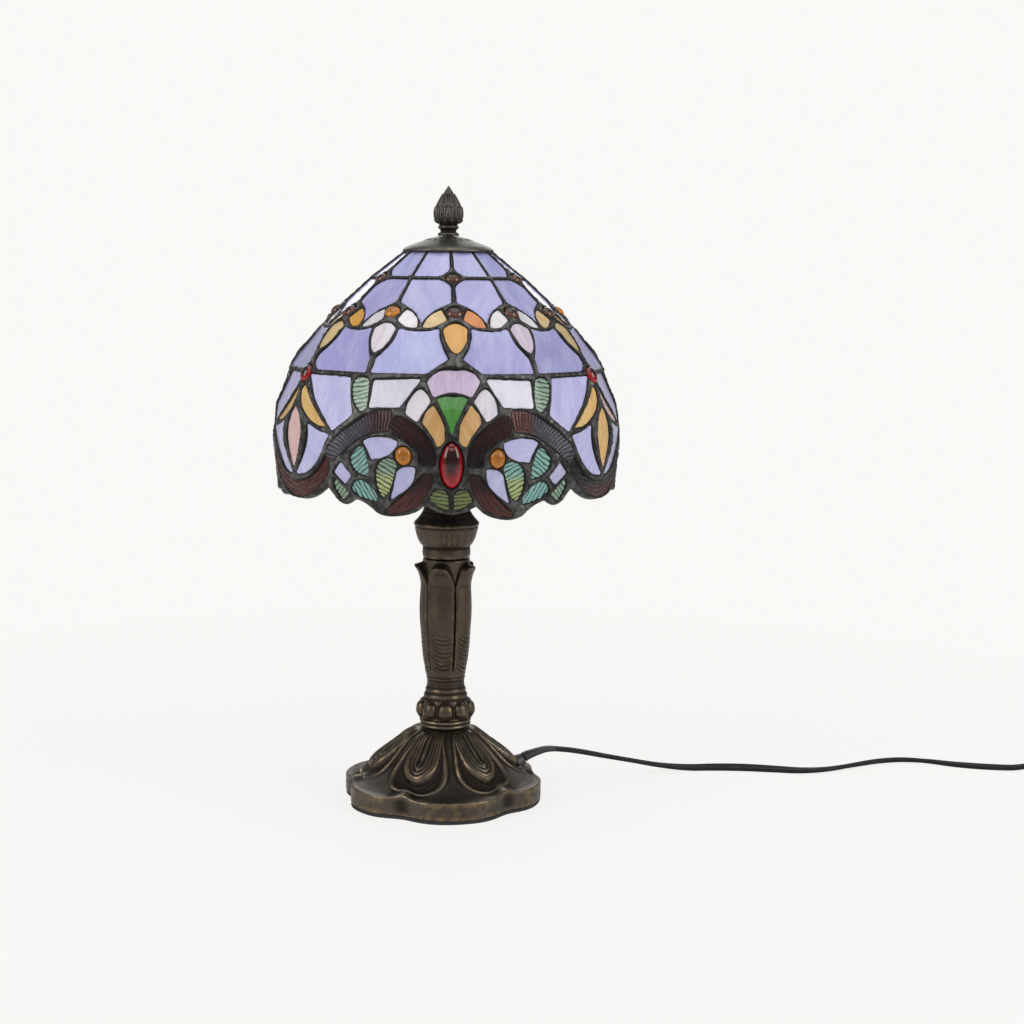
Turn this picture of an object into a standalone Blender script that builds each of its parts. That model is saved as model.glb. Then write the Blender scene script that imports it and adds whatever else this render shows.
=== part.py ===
"""Stained glass table lamp: a panelled glass shade hung on a harp over a cast stand.

Sizes are in metres.  The lamp stands on z = 0 with its axis on Z and its front
towards -Y.  An azimuth is counted from the front (-Y) towards the right (+X).
Every piece that comes apart on a bench is an object of its own.
"""
import math

import bmesh
import bpy
import numpy as np
from mathutils import Matrix, Vector

MM = 0.001
DEG = math.pi / 180.0

# ---------------------------------------------------------------- fits
GAP = 0.3 * MM                    # between two pieces that touch
BORE_PLAY = 0.4 * MM              # radial play of a bore round its rod
MERGE = 0.01 * MM                 # welding distance of turned profiles
WELD = 0.0001 * MM                # welding distance of curve caps

# ---------------------------------------------------------------- stand
PAD_THICKNESS = 1.5 * MM
PAD_INSET = 1.0 * MM              # pad edge behind the rim of the base

BASE_HEIGHT = 46.8 * MM
BASE_RADIUS = 56.4 * MM           # mean of lobes and valleys
BASE_LOBES = 6
BASE_LOBE_DEPTH = 3.4 * MM        # lobes beyond the mean, valleys short of it
BASE_LOBE_AZIMUTH = 7.5 * DEG
BASE_WALL = 4.0 * MM
BASE_ROOF = 9.5 * MM              # thickness of the hub that the nut pulls on
RIM_HEIGHT = 10.8 * MM
RIM_ROUNDING = 1.5 * MM
NECK_RADIUS = 17.2 * MM
NECK_HEIGHT = 4.6 * MM            # the double ring under the column
NECK_GROOVE = 0.9 * MM
DOME_BELLY = 1.85                 # powers of the dome's curve
DOME_SWEEP = 3.5

COLUMN_HEIGHT = 95.8 * MM
COLUMN_RADIUS = 14.7 * MM         # of the leaf sheath
SHEATH_LEAVES = 6
SHEATH_RIDGE = 0.5 * MM
GADROONS = 8
GADROON_DEPTH = 0.7 * MM

CUP_HEIGHT = 36.0 * MM
CUP_RADIUS = 19.2 * MM

PIPE_RADIUS = 5.1 * MM
PIPE_BORE = 3.5 * MM
PIPE_BELOW_ROOF = 9.0 * MM
PIPE_IN_SOCKET = 6.5 * MM
NUT_FLATS = 14.0 * MM
NUT_THICKNESS = 5.0 * MM
NUT_SEAT_MARGIN = 2.0 * MM        # flat roof beyond the nut's corners

# ---------------------------------------------------------------- light
SADDLE_THICKNESS = 2.0 * MM
SADDLE_WIDTH = 16.0 * MM
SADDLE_REACH = 24.0 * MM          # from the axis to each harp leg
SADDLE_END = 3.0 * MM             # strip beyond each post
POST_HEIGHT = 12.0 * MM

WIRE_RADIUS = 1.9 * MM
HARP_HEIGHT = 145.7 * MM          # saddle top to the seat of the shade
HARP_BOW = 38.0 * MM              # widest reach of each leg
HARP_BOW_HEIGHT = 80.0 * MM       # of the widest place above the saddle
HARP_STRAIGHT = 43.0 * MM         # legs run straight up to here
HARP_BOSS_RADIUS = 7.0 * MM
HARP_BOSS_THICKNESS = 3.0 * MM
STUD_RADIUS = 3.1 * MM
STUD_IN_FINIAL = 10.0 * MM
SLEEVE_LENGTH = 14.0 * MM
SLEEVE_WALL = 1.3 * MM

SOCKET_RADIUS = 15.8 * MM
SOCKET_HEIGHT = 45.0 * MM
SOCKET_WALL = 0.8 * MM
SOCKET_CAP_HEIGHT = 7.5 * MM
CORE_WALL = 1.1 * MM
CORE_FLOOR = 3.0 * MM
CORE_RECESS = 1.4 * MM            # core top below the shell's top
CORE_ABOVE_PIPE = 3.0 * MM

BULB_CAP_RADIUS = 12.9 * MM
BULB_CAP_HEIGHT = 28.6 * MM
BULB_TIP_RADIUS = 4.5 * MM
BULB_RADIUS = 24.0 * MM
BULB_HEIGHT = 67.0 * MM           # glass alone
BULB_NECK_RADIUS = 12.4 * MM
BULB_WALL = 0.8 * MM
THREAD_PITCH = 3.6 * MM
THREAD_DEPTH = 0.7 * MM
THREAD_TURNS = 4

# ---------------------------------------------------------------- shade
SHADE_SIDES = 12
SHADE_TURN = 1.5 * DEG            # rest position of the shade on its stud
SHADE_RADIUS = 100.8 * MM         # widest, over the ribs
CROWN_RADIUS = 27.1 * MM
RING_1_RADIUS = 45.1 * MM
RING_1_DROP = 14.3 * MM           # drops are counted from the crown's edge
RING_2_RADIUS = 76.7 * MM
RING_2_DROP = 43.5 * MM
RING_3_DROP = 70.5 * MM
BELLY_DROP = 104.5 * MM           # where the skirt is widest
BELLY_POWER = 2.1
HEM_DROP = 141.7 * MM             # lowest scallop
HEM_INSET = 3.4 * MM              # the lowest scallop stands inside the belly
SKIRT_THICKNESS = 3.0 * MM
LATTICE_THICKNESS = 3.6 * MM
CAME_WIDTH = 3.6 * MM             # solder bars between two panes
PANE_THICKNESS = 2.8 * MM
PANE_RECESS = 0.4 * MM            # pane face behind the solder's face
SKIRT_SEAM = 0.4 * MM             # between two neighbouring skirts
# Scalloped hem of one sixth of the turn each side of a front motif: azimuth in
# degrees from the motif, and how far each notch stays above the lowest scallop.
HEM_POINTS = (
    (0.0, 4.0 * MM), (4.0, 6.4 * MM), (8.0, 9.5 * MM), (14.0, 2.4 * MM),
    (19.5, 0.0 * MM), (26.0, 4.0 * MM), (32.5, 12.0 * MM), (37.0, 6.0 * MM),
    (45.0, 14.0 * MM), (52.5, 9.0 * MM), (60.0, 5.5 * MM),
)

CAP_RADIUS = 26.5 * MM
CAP_HEIGHT = 9.3 * MM
CAP_WALL = 1.0 * MM
CAP_FLAT = 6.8 * MM               # flat top under the finial's foot
CAP_VENTS = 8
VENT_RADIUS = 1.3 * MM
VENT_CIRCLE = 20.0 * MM

WASHER_RADIUS = CAP_FLAT - 0.5 * MM   # it bears on the cap's flat alone
WASHER_THICKNESS = 1.2 * MM

FINIAL_HEIGHT = 28.6 * MM
FINIAL_RADIUS = 8.9 * MM
FINIAL_BORE_SPARE = 1.3 * MM      # bore beyond the stud's end

# ---------------------------------------------------------------- cord
CORD_WIDTH = 5.6 * MM
CORD_THICKNESS = 2.8 * MM
CORD_LIFT = 0.2 * MM              # underside of the cord above the table
CORD_STEP = 2.4 * CORD_WIDTH      # spacing of the cord's points
CORD_LEAD_OUT = 3.0 * MM          # straight stretch out of the bushing

BUSHING_AZIMUTH = 110.0 * DEG
BUSHING_PITCH = 30.0 * DEG        # axis above the horizontal
BUSHING_SHARE = 0.73              # place on the dome, from the neck to the rim
BUSHING_NECK = 3.9 * MM
BUSHING_FACE = 4.7 * MM
BUSHING_SHOULDER = 5.2 * MM
BUSHING_OUT = 7.5 * MM
BUSHING_IN = 9.0 * MM

# Route of the cord's centre from the bushing to the switch.
ROUTE_TO_SWITCH = (
    (61.1 * MM, 22.2 * MM, 22.4 * MM), (70.5 * MM, 25.6 * MM, 21.6 * MM),
    (83.3 * MM, 30.3 * MM, 18.8 * MM), (100.6 * MM, 36.6 * MM, 14.0 * MM),
    (117.0 * MM, 42.6 * MM, 9.6 * MM), (132.0 * MM, 48.0 * MM, 5.6 * MM),
    (148.0 * MM, 52.4 * MM, 2.7 * MM), (165.0 * MM, 54.2 * MM, 1.7 * MM),
    (188.0 * MM, 53.4 * MM, 1.6 * MM), (210.0 * MM, 50.0 * MM, 1.6 * MM),
    (225.0 * MM, 48.0 * MM, 1.6 * MM), (242.0 * MM, 50.8 * MM, 1.6 * MM),
    (260.7 * MM, 59.4 * MM, 1.6 * MM), (279.0 * MM, 68.2 * MM, 1.6 * MM),
    (296.0 * MM, 72.0 * MM, 1.6 * MM), (312.0 * MM, 69.2 * MM, 1.6 * MM),
    (327.0 * MM, 62.4 * MM, 1.6 * MM), (343.0 * MM, 57.2 * MM, 1.6 * MM),
    (360.0 * MM, 54.4 * MM, 1.7 * MM), (373.0 * MM, 53.0 * MM, 3.6 * MM),
    (383.0 * MM, 52.6 * MM, 6.2 * MM), (389.7 * MM, 52.5 * MM, 7.0 * MM),
)
SWITCH_CENTRE = (415.0 * MM, 52.5 * MM)
SWITCH_LENGTH = 50.0 * MM
SWITCH_WIDTH = 22.0 * MM
SWITCH_SHELL_HEIGHT = 6.5 * MM    # of each of the two shells
SWITCH_WALL = 2.0 * MM
SWITCH_CORNER = 4.0 * MM
SWITCH_LIFT = 0.2 * MM
ROCKER_LENGTH = 14.0 * MM
ROCKER_WIDTH = 8.0 * MM
ROCKER_DEPTH = 2.6 * MM           # below the pivot
ROCKER_RISE = 3.8 * MM            # raised end above the pivot when level
ROCKER_THROW = 20.0 * DEG
ROCKER_PIVOT = 10.4 * MM          # height above the table
SLOT_PLAY = 0.9 * MM              # slot beyond each end of the rocker

ROUTE_TO_COIL = (
    (440.3 * MM, 52.5 * MM, 7.0 * MM), (450.0 * MM, 52.6 * MM, 6.1 * MM),
    (462.0 * MM, 53.4 * MM, 3.8 * MM), (475.0 * MM, 54.2 * MM, 3.1 * MM),
    (488.3 * MM, 54.4 * MM, 3.1 * MM),
)
COIL_CENTRE = (505.0 * MM, 18.6 * MM)
COIL_INNER = 24.6 * MM
COIL_OUTER = 38.0 * MM
COIL_HEIGHT = 12.4 * MM
ROUTE_TO_PLUG = (
    (488.4 * MM, -17.2 * MM, 9.0 * MM), (483.5 * MM, -17.2 * MM, 9.0 * MM),
    (478.5 * MM, -17.2 * MM, 9.0 * MM),
)

PLUG_LENGTH = 38.0 * MM           # face to the end of the strain relief
PLUG_WIDTH = 22.0 * MM
PLUG_DEPTH = 17.0 * MM
PLUG_TAIL_SCALE = 1.25            # strain relief's end to the cord's section
BLADE_LENGTH = 17.0 * MM
BLADE_WIDTH = 6.3 * MM
BLADE_THICKNESS = 1.5 * MM
BLADE_SPACING = 12.7 * MM
BLADE_ROOT = 6.0 * MM

# ---------------------------------------------------------------- levels
Z_BASE = PAD_THICKNESS + GAP
Z_COLUMN = Z_BASE + BASE_HEIGHT + GAP
Z_CUP = Z_COLUMN + COLUMN_HEIGHT + GAP
Z_SADDLE = Z_CUP + CUP_HEIGHT + GAP
Z_SADDLE_TOP = Z_SADDLE + SADDLE_THICKNESS
Z_SOCKET = Z_SADDLE_TOP + GAP
Z_CORE = Z_SOCKET + PIPE_IN_SOCKET + CORE_ABOVE_PIPE
Z_BULB = Z_CORE + CORE_FLOOR + GAP
Z_BULB_GLASS = Z_BULB + BULB_CAP_HEIGHT + GAP
Z_ROOF = Z_BASE + BASE_HEIGHT - BASE_ROOF
Z_SEAT = Z_SADDLE_TOP + HARP_HEIGHT
Z_WASHER = Z_SEAT + GAP
Z_CAP = Z_WASHER + WASHER_THICKNESS + GAP + CAP_WALL   # flat top of the cap
Z_CROWN = Z_CAP - CAP_HEIGHT - GAP
Z_FINIAL = Z_CAP + GAP
Z_PIPE = Z_ROOF - PIPE_BELOW_ROOF
Z_PIPE_TOP = Z_SOCKET + PIPE_IN_SOCKET

# ---------------------------------------------------------------- finishes
#            colour                       roughness  metallic
BRONZE = ("aged_bronze", (0.060, 0.046, 0.036), 0.42, 0.85)
BRASS = ("worn_brass", (0.48, 0.33, 0.14), 0.35, 1.0)
SOLDER = ("dark_solder", (0.060, 0.060, 0.062), 0.45, 0.9)
STEEL = ("plated_steel", (0.50, 0.49, 0.46), 0.30, 1.0)
LAVENDER = ("lavender_glass", (0.46, 0.45, 0.72), 0.15, 0.0)
VIOLET = ("violet_glass", (0.52, 0.46, 0.70), 0.15, 0.0)
MOTIF = ("green_and_red_glass", (0.22, 0.16, 0.14), 0.18, 0.0)
CLEAR = ("frosted_bulb_glass", (0.90, 0.90, 0.88), 0.25, 0.0)
PORCELAIN = ("socket_core_ceramic", (0.80, 0.78, 0.72), 0.30, 0.0)
RUBBER = ("black_rubber", (0.015, 0.015, 0.015), 0.70, 0.0)
CORD_PVC = ("black_cord", (0.012, 0.012, 0.013), 0.45, 0.0)
BLACK_PLASTIC = ("black_plastic", (0.014, 0.014, 0.015), 0.35, 0.0)


# ================================================================ helpers
def clear_scene():
    """Take every object out of the open scene."""
    for thing in list(bpy.data.objects):
        bpy.data.objects.remove(thing, do_unlink=True)


def new_collection(name):
    """A collection of that name under the scene."""
    group = bpy.data.collections.new(name)
    bpy.context.scene.collection.children.link(group)
    return group


def finish(spec):
    """The Principled material of one finish, made once."""
    name, colour, roughness, metallic = spec
    material = bpy.data.materials.get(name)
    if material is None:
        material = bpy.data.materials.new(name)
        material.use_nodes = True
        shader = material.node_tree.nodes["Principled BSDF"]
        shader.inputs["Base Color"].default_value = (*colour, 1.0)
        shader.inputs["Roughness"].default_value = roughness
        shader.inputs["Metallic"].default_value = metallic
        material.diffuse_color = (*colour, 1.0)
    return material


def add_part(name, data, spec, parent=None):
    """Put mesh or curve data into the scene as one named part."""
    part = bpy.data.objects.new(name, data)
    data.materials.append(finish(spec))
    PARTS.objects.link(part)
    part.parent = parent
    return part


def add_cutter(name, mesh):
    """A hidden wire object that only cuts or joins."""
    cutter = bpy.data.objects.new(name, mesh)
    CUTTERS.objects.link(cutter)
    cutter.hide_render = True
    cutter.display_type = 'WIRE'
    return cutter


def boolean(part, cutter, operation):
    """Cut the cutter out of the part, or join it on, with the exact solver."""
    step = part.modifiers.new(cutter.name, 'BOOLEAN')
    step.operation = operation
    step.solver = 'EXACT'
    step.object = cutter


def mesh_from(name, points, faces):
    """A mesh from an array of points and a list of faces."""
    mesh = bpy.data.meshes.new(name)
    mesh.from_pydata([tuple(p) for p in points], [], faces)
    mesh.update()
    return mesh


def rod_mesh(name, radius, length, segments, at=(0.0, 0.0, 0.0)):
    """A capped cylinder along Z whose foot is at the given place."""
    mesh = bpy.data.meshes.new(name)
    work = bmesh.new()
    lift = Matrix.Translation(Vector(at) + Vector((0.0, 0.0, length / 2)))
    bmesh.ops.create_cone(
        work, cap_ends=True, segments=segments, radius1=radius, radius2=radius,
        depth=length, matrix=lift)
    work.to_mesh(mesh)
    work.free()
    return mesh


def block_mesh(name, size, at=(0.0, 0.0, 0.0)):
    """A box of that size centred on the given place."""
    mesh = bpy.data.meshes.new(name)
    work = bmesh.new()
    place = Matrix.Translation(at) @ Matrix.Diagonal((*size, 1.0))
    bmesh.ops.create_cube(work, size=1.0, matrix=place)
    work.to_mesh(mesh)
    work.free()
    return mesh


def turned(name, outline, steps, spec, z=0.0, bored=False, parent=None):
    """Spin an outline of (radius, height) points, top to bottom down the outside.

    A bored piece's outline runs back up its bore and closes on its first point.
    """
    points = [(radius, 0.0, height) for radius, height in outline]
    edges = [(i, i + 1) for i in range(len(points) - 1)]
    if bored:
        edges.append((len(points) - 1, 0))
    mesh = bpy.data.meshes.new(name)
    mesh.from_pydata(points, edges, [])
    part = add_part(name, mesh, spec, parent)
    part.location.z = z
    spin = part.modifiers.new("spin", 'SCREW')
    spin.axis = 'Z'
    spin.angle = 2 * math.pi
    spin.steps = steps
    spin.render_steps = steps
    spin.use_merge_vertices = True
    spin.merge_threshold = MERGE
    spin.use_smooth_shade = True
    return part


def loft_ring_solid(name, rings, spec):
    """Skin rings of points that close both round themselves and last to first."""
    count, around = rings.shape[:2]
    faces = []
    for i in range(count):
        for j in range(around):
            k = (j + 1) % around
            n = (i + 1) % count
            faces.append((i * around + j, n * around + j,
                          n * around + k, i * around + k))
    mesh = mesh_from(name, rings.reshape(-1, 3), faces)
    mesh.shade_smooth()
    mesh.set_sharp_from_angle(angle=40 * DEG)
    return add_part(name, mesh, spec)


def plate(name, outline, thickness, spec, z=0.0, parent=None):
    """A flat outline of (x, y) points, filled and given its thickness upwards."""
    curve = bpy.data.curves.new(name, 'CURVE')
    curve.dimensions = '2D'
    curve.fill_mode = 'BOTH'
    curve.extrude = thickness / 2
    spline = curve.splines.new('POLY')
    spline.points.add(len(outline) - 1)
    for point, (x, y) in zip(spline.points, outline):
        point.co = (x, y, 0.0, 1.0)
    spline.use_cyclic_u = True
    part = add_part(name, curve, spec, parent)
    part.location.z = z + thickness / 2
    return part


def mesh_of(part):
    """Turn a curve part into a closed mesh object in the same place."""
    depsgraph = bpy.context.evaluated_depsgraph_get()
    mesh = bpy.data.meshes.new_from_object(part.evaluated_get(depsgraph))
    work = bmesh.new()
    work.from_mesh(mesh)
    bmesh.ops.remove_doubles(work, verts=work.verts, dist=WELD)
    bmesh.ops.recalc_face_normals(work, faces=work.faces)
    work.to_mesh(mesh)
    work.free()
    solid = bpy.data.objects.new(part.name, mesh)
    PARTS.objects.link(solid)
    solid.matrix_world = part.matrix_world
    name = part.name
    bpy.data.objects.remove(part, do_unlink=True)
    solid.name = name
    return solid


def smooth_path(route, spacing):
    """Evenly spaced points on a Catmull-Rom curve through the route's points."""
    knots = np.array(route, dtype=float)
    before = 2 * knots[0] - knots[1]
    after = 2 * knots[-1] - knots[-2]
    padded = np.vstack([before, knots, after])
    t = np.linspace(0.0, 1.0, 17)[:-1, None]
    spans = []
    for i in range(len(knots) - 1):
        a, b, c, d = padded[i:i + 4]
        spans.append(0.5 * (2 * b + (c - a) * t + (2 * a - 5 * b + 4 * c - d) * t ** 2
                            + (3 * b - a - 3 * c + d) * t ** 3))
    fine = np.vstack(spans + [knots[-1:]])
    run = np.concatenate([[0.0], np.cumsum(np.linalg.norm(np.diff(fine, axis=0), axis=1))])
    count = max(int(round(run[-1] / spacing)), 2) + 1
    places = np.linspace(0.0, run[-1], count)
    return np.stack([np.interp(places, run, fine[:, k]) for k in range(3)], axis=1)


def flat_cord(name, points, tilts, twist='Z_UP'):
    """A two-core flat cord along points; a tilt of 90 degrees lays it flat."""
    curve = bpy.data.curves.new(name, 'CURVE')
    curve.dimensions = '3D'
    curve.twist_mode = twist
    curve.bevel_depth = CORD_THICKNESS / 2
    curve.bevel_resolution = 2
    curve.extrude = (CORD_WIDTH - CORD_THICKNESS) / 2
    curve.use_fill_caps = True
    spline = curve.splines.new('POLY')
    spline.points.add(len(points) - 1)
    for point, place, tilt in zip(spline.points, points, tilts):
        point.co = (*place, 1.0)
        point.tilt = tilt
    return add_part(name, curve, CORD_PVC)


def polar(radius, azimuth):
    """X and Y of a place given by its radius and its azimuth from the front."""
    return radius * math.sin(azimuth), -radius * math.cos(azimuth)


# ================================================================ stand
def dome(share, azimuth):
    """Radius and height of the base's dome; share runs 0 at the neck to 1 at the rim."""
    lobes = math.cos(BASE_LOBES * (azimuth - BASE_LOBE_AZIMUTH))
    rim_top = RIM_HEIGHT
    neck_foot = BASE_HEIGHT - NECK_HEIGHT
    radius = NECK_RADIUS + share * (BASE_RADIUS - RIM_ROUNDING - NECK_RADIUS)
    radius += lobes * BASE_LOBE_DEPTH * share
    height = rim_top + (neck_foot - rim_top) * (1 - share ** DOME_BELLY) ** DOME_SWEEP
    return radius, height


def base_rings():
    """Rings of the base casting: neck, dome, rim, then back up its hollow and bore."""
    around = 60
    azimuths = [2 * math.pi * j / around for j in range(around)]
    top = BASE_HEIGHT
    groove = NECK_RADIUS - NECK_GROOVE
    turned_rings = [
        (NECK_RADIUS - 1.2 * MM, top), (NECK_RADIUS, top - 0.20 * NECK_HEIGHT),
        (NECK_RADIUS, top - 0.40 * NECK_HEIGHT), (groove, top - 0.55 * NECK_HEIGHT),
        (NECK_RADIUS, top - 0.70 * NECK_HEIGHT),
    ]
    rings = [[(*polar(radius, a), height) for a in azimuths]
             for radius, height in turned_rings]
    for i in range(12):
        share = (i / 11.0) ** 0.9
        rings.append([(*polar(dome(share, a)[0], a), dome(share, a)[1])
                      for a in azimuths])

    def rim(radius_offset, height, depth=1.0):
        lobed = [BASE_RADIUS + radius_offset + depth * BASE_LOBE_DEPTH
                 * math.cos(BASE_LOBES * (a - BASE_LOBE_AZIMUTH)) for a in azimuths]
        return [(*polar(radius, a), height) for radius, a in zip(lobed, azimuths)]

    rings.append(rim(0.0, RIM_HEIGHT - RIM_ROUNDING))
    rings.append(rim(0.0, 0.0))
    rings.append(rim(-BASE_WALL, 0.0))
    rings.append(rim(-BASE_WALL, RIM_HEIGHT - BASE_WALL - RIM_ROUNDING))
    roof = BASE_HEIGHT - BASE_ROOF
    for share in (0.78, 0.58, 0.38, 0.2):
        ring = []
        for a in azimuths:
            radius, height = dome(share, a)
            ring.append((*polar(radius - 0.55 * BASE_WALL, a),
                         min(height - 0.95 * BASE_WALL, roof)))
        rings.append(ring)
    seat = NUT_FLATS / 2 / math.cos(30 * DEG) + NUT_SEAT_MARGIN
    bore = PIPE_RADIUS + BORE_PLAY
    for radius, height in ((seat, roof), (bore, roof), (bore, top)):
        rings.append([(*polar(radius, a), height) for a in azimuths])
    return np.array(rings)


def bushing_frame():
    """Matrix whose origin is on the dome at the bushing, with Z out along its axis."""
    radius, height = dome(BUSHING_SHARE, BUSHING_AZIMUTH)
    x, y = polar(radius, BUSHING_AZIMUTH)
    across = polar(math.cos(BUSHING_PITCH), BUSHING_AZIMUTH)
    out = Vector((*across, math.sin(BUSHING_PITCH)))
    side = Vector((0.0, 0.0, 1.0)).cross(out).normalized()
    up = out.cross(side)
    turn = Matrix((side, up, out)).transposed().to_4x4()
    return Matrix.Translation((x, y, Z_BASE + height)) @ turn


def bushing_seat():
    """How far out along the bushing's axis its shoulder clears the sloping dome."""
    to_bushing = bushing_frame().inverted()
    reach = 0.0
    for share in np.linspace(BUSHING_SHARE - 0.2, 1.0, 30):
        for turn in np.linspace(-12.0, 12.0, 25):
            azimuth = BUSHING_AZIMUTH + turn * DEG
            radius, height = dome(share, azimuth)
            x, y = polar(radius, azimuth)
            local = to_bushing @ Vector((x, y, Z_BASE + height))
            if local.xy.length < BUSHING_SHOULDER + GAP:
                reach = max(reach, local.z)
    return reach + GAP


def make_stand():
    """Pad, base, bushing, column, cup, pipe and the nut that clamps them."""
    outline = []
    for j in range(60):
        azimuth = 2 * math.pi * j / 60
        lobe = BASE_LOBE_DEPTH * math.cos(BASE_LOBES * (azimuth - BASE_LOBE_AZIMUTH))
        outline.append(polar(BASE_RADIUS - PAD_INSET + lobe, azimuth))
    plate("base_pad", outline, PAD_THICKNESS, RUBBER)

    base = loft_ring_solid("base", base_rings(), BRONZE)
    base.location.z = Z_BASE
    hole = rod_mesh("bushing_hole", BUSHING_NECK + GAP,
                    BUSHING_IN + BUSHING_OUT + 6 * MM, 24, (0, 0, -BUSHING_IN))
    cutter = add_cutter("bushing_hole", hole)
    cutter.matrix_world = bushing_frame()
    boolean(base, cutter, 'DIFFERENCE')

    seat = bushing_seat()
    bushing = turned("cord_bushing", [
        (0.0, BUSHING_OUT), (BUSHING_FACE - 0.5 * MM, BUSHING_OUT),
        (BUSHING_FACE, BUSHING_OUT - 0.5 * MM), (BUSHING_SHOULDER, seat),
        (BUSHING_NECK, seat), (BUSHING_NECK, -BUSHING_IN),
        (0.0, -BUSHING_IN)], 24, RUBBER)
    bushing.matrix_world = bushing_frame()

    loft_ring_solid("column", column_rings(), BRONZE).location.z = Z_COLUMN

    bore = PIPE_RADIUS + BORE_PLAY
    turned("socket_cup", cup_outline() + [(bore, 0.0), (bore, CUP_HEIGHT)], 40, BRONZE,
           z=Z_CUP, bored=True)

    turned("threaded_pipe", [
        (PIPE_RADIUS, Z_PIPE_TOP), (PIPE_RADIUS, Z_PIPE),
        (PIPE_BORE, Z_PIPE), (PIPE_BORE, Z_PIPE_TOP)], 24, BRASS, bored=True)

    corner = NUT_FLATS / 2 / math.cos(30 * DEG)
    nut_foot = Z_ROOF - GAP - NUT_THICKNESS
    nut = add_part("bottom_nut", rod_mesh("bottom_nut", corner, NUT_THICKNESS, 6), BRASS)
    nut.location.z = nut_foot
    bore_rod = rod_mesh("nut_bore", bore, NUT_THICKNESS + 4 * MM, 24)
    nut_cutter = add_cutter("nut_bore", bore_rod)
    nut_cutter.location.z = nut_foot - 2 * MM
    boolean(nut, nut_cutter, 'DIFFERENCE')


def column_rings():
    """Rings of the column: gadroon ring, collar, leaf sheath and curled leaf tips."""
    around = 48
    # share of the height, radius, depth of gadroons, depth of leaf ridges
    shape = [
        (0.000, 15.8 * MM, 0.0, 0.0), (0.014, 16.4 * MM, 0.6, 0.0),
        (0.055, 17.2 * MM, 1.0, 0.0), (0.092, 16.2 * MM, 0.8, 0.0),
        (0.118, 14.2 * MM, 0.0, 0.0), (0.143, 13.8 * MM, 0.0, 0.0),
        (0.175, 12.4 * MM, 0.0, 0.0), (0.207, 11.1 * MM, 0.0, 0.0),
        (0.281, 11.1 * MM, 0.0, 0.3), (0.318, 11.9 * MM, 0.0, 0.6),
        (0.366, 13.1 * MM, 0.0, 1.0), (0.451, 14.0 * MM, 0.0, 1.0),
        (0.557, 14.4 * MM, 0.0, 1.0), (0.653, COLUMN_RADIUS, 0.0, 1.0),
        (0.770, COLUMN_RADIUS, 0.0, 1.0), (0.854, 15.2 * MM, 0.0, 1.4),
        (0.907, 16.4 * MM, 0.0, 1.8), (0.955, 17.6 * MM, 0.0, 2.4),
        (0.978, 16.4 * MM, 0.0, 1.6), (1.000, 14.4 * MM, 0.0, 0.0),
    ]
    bore = PIPE_RADIUS + BORE_PLAY
    rings = []
    for share, radius, gadroon, ridge in reversed(shape):
        ring = []
        for j in range(around):
            azimuth = 2 * math.pi * j / around
            bead = gadroon * GADROON_DEPTH * math.cos(GADROONS * azimuth)
            leaf = ridge * SHEATH_RIDGE * math.cos(SHEATH_LEAVES * azimuth)
            ring.append((*polar(radius + bead + leaf, azimuth), share * COLUMN_HEIGHT))
        rings.append(ring)
    for height in (0.0, COLUMN_HEIGHT):
        rings.append([(*polar(bore, 2 * math.pi * j / around), height)
                      for j in range(around)])
    return np.array(rings)


def cup_outline():
    """Outer side of the socket cup, from its narrow top over the rim to its foot."""
    shape = [
        (1.000, 0.680), (0.827, 0.693), (0.754, 0.740), (0.670, 0.845),
        (0.587, 0.980), (0.560, 1.000), (0.450, 0.955), (0.400, 0.938),
        (0.335, 0.906), (0.268, 0.860), (0.204, 0.800), (0.137, 0.719),
        (0.105, 0.734), (0.000, 0.734),
    ]
    return [(radius * CUP_RADIUS, height * CUP_HEIGHT) for height, radius in shape]


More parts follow.
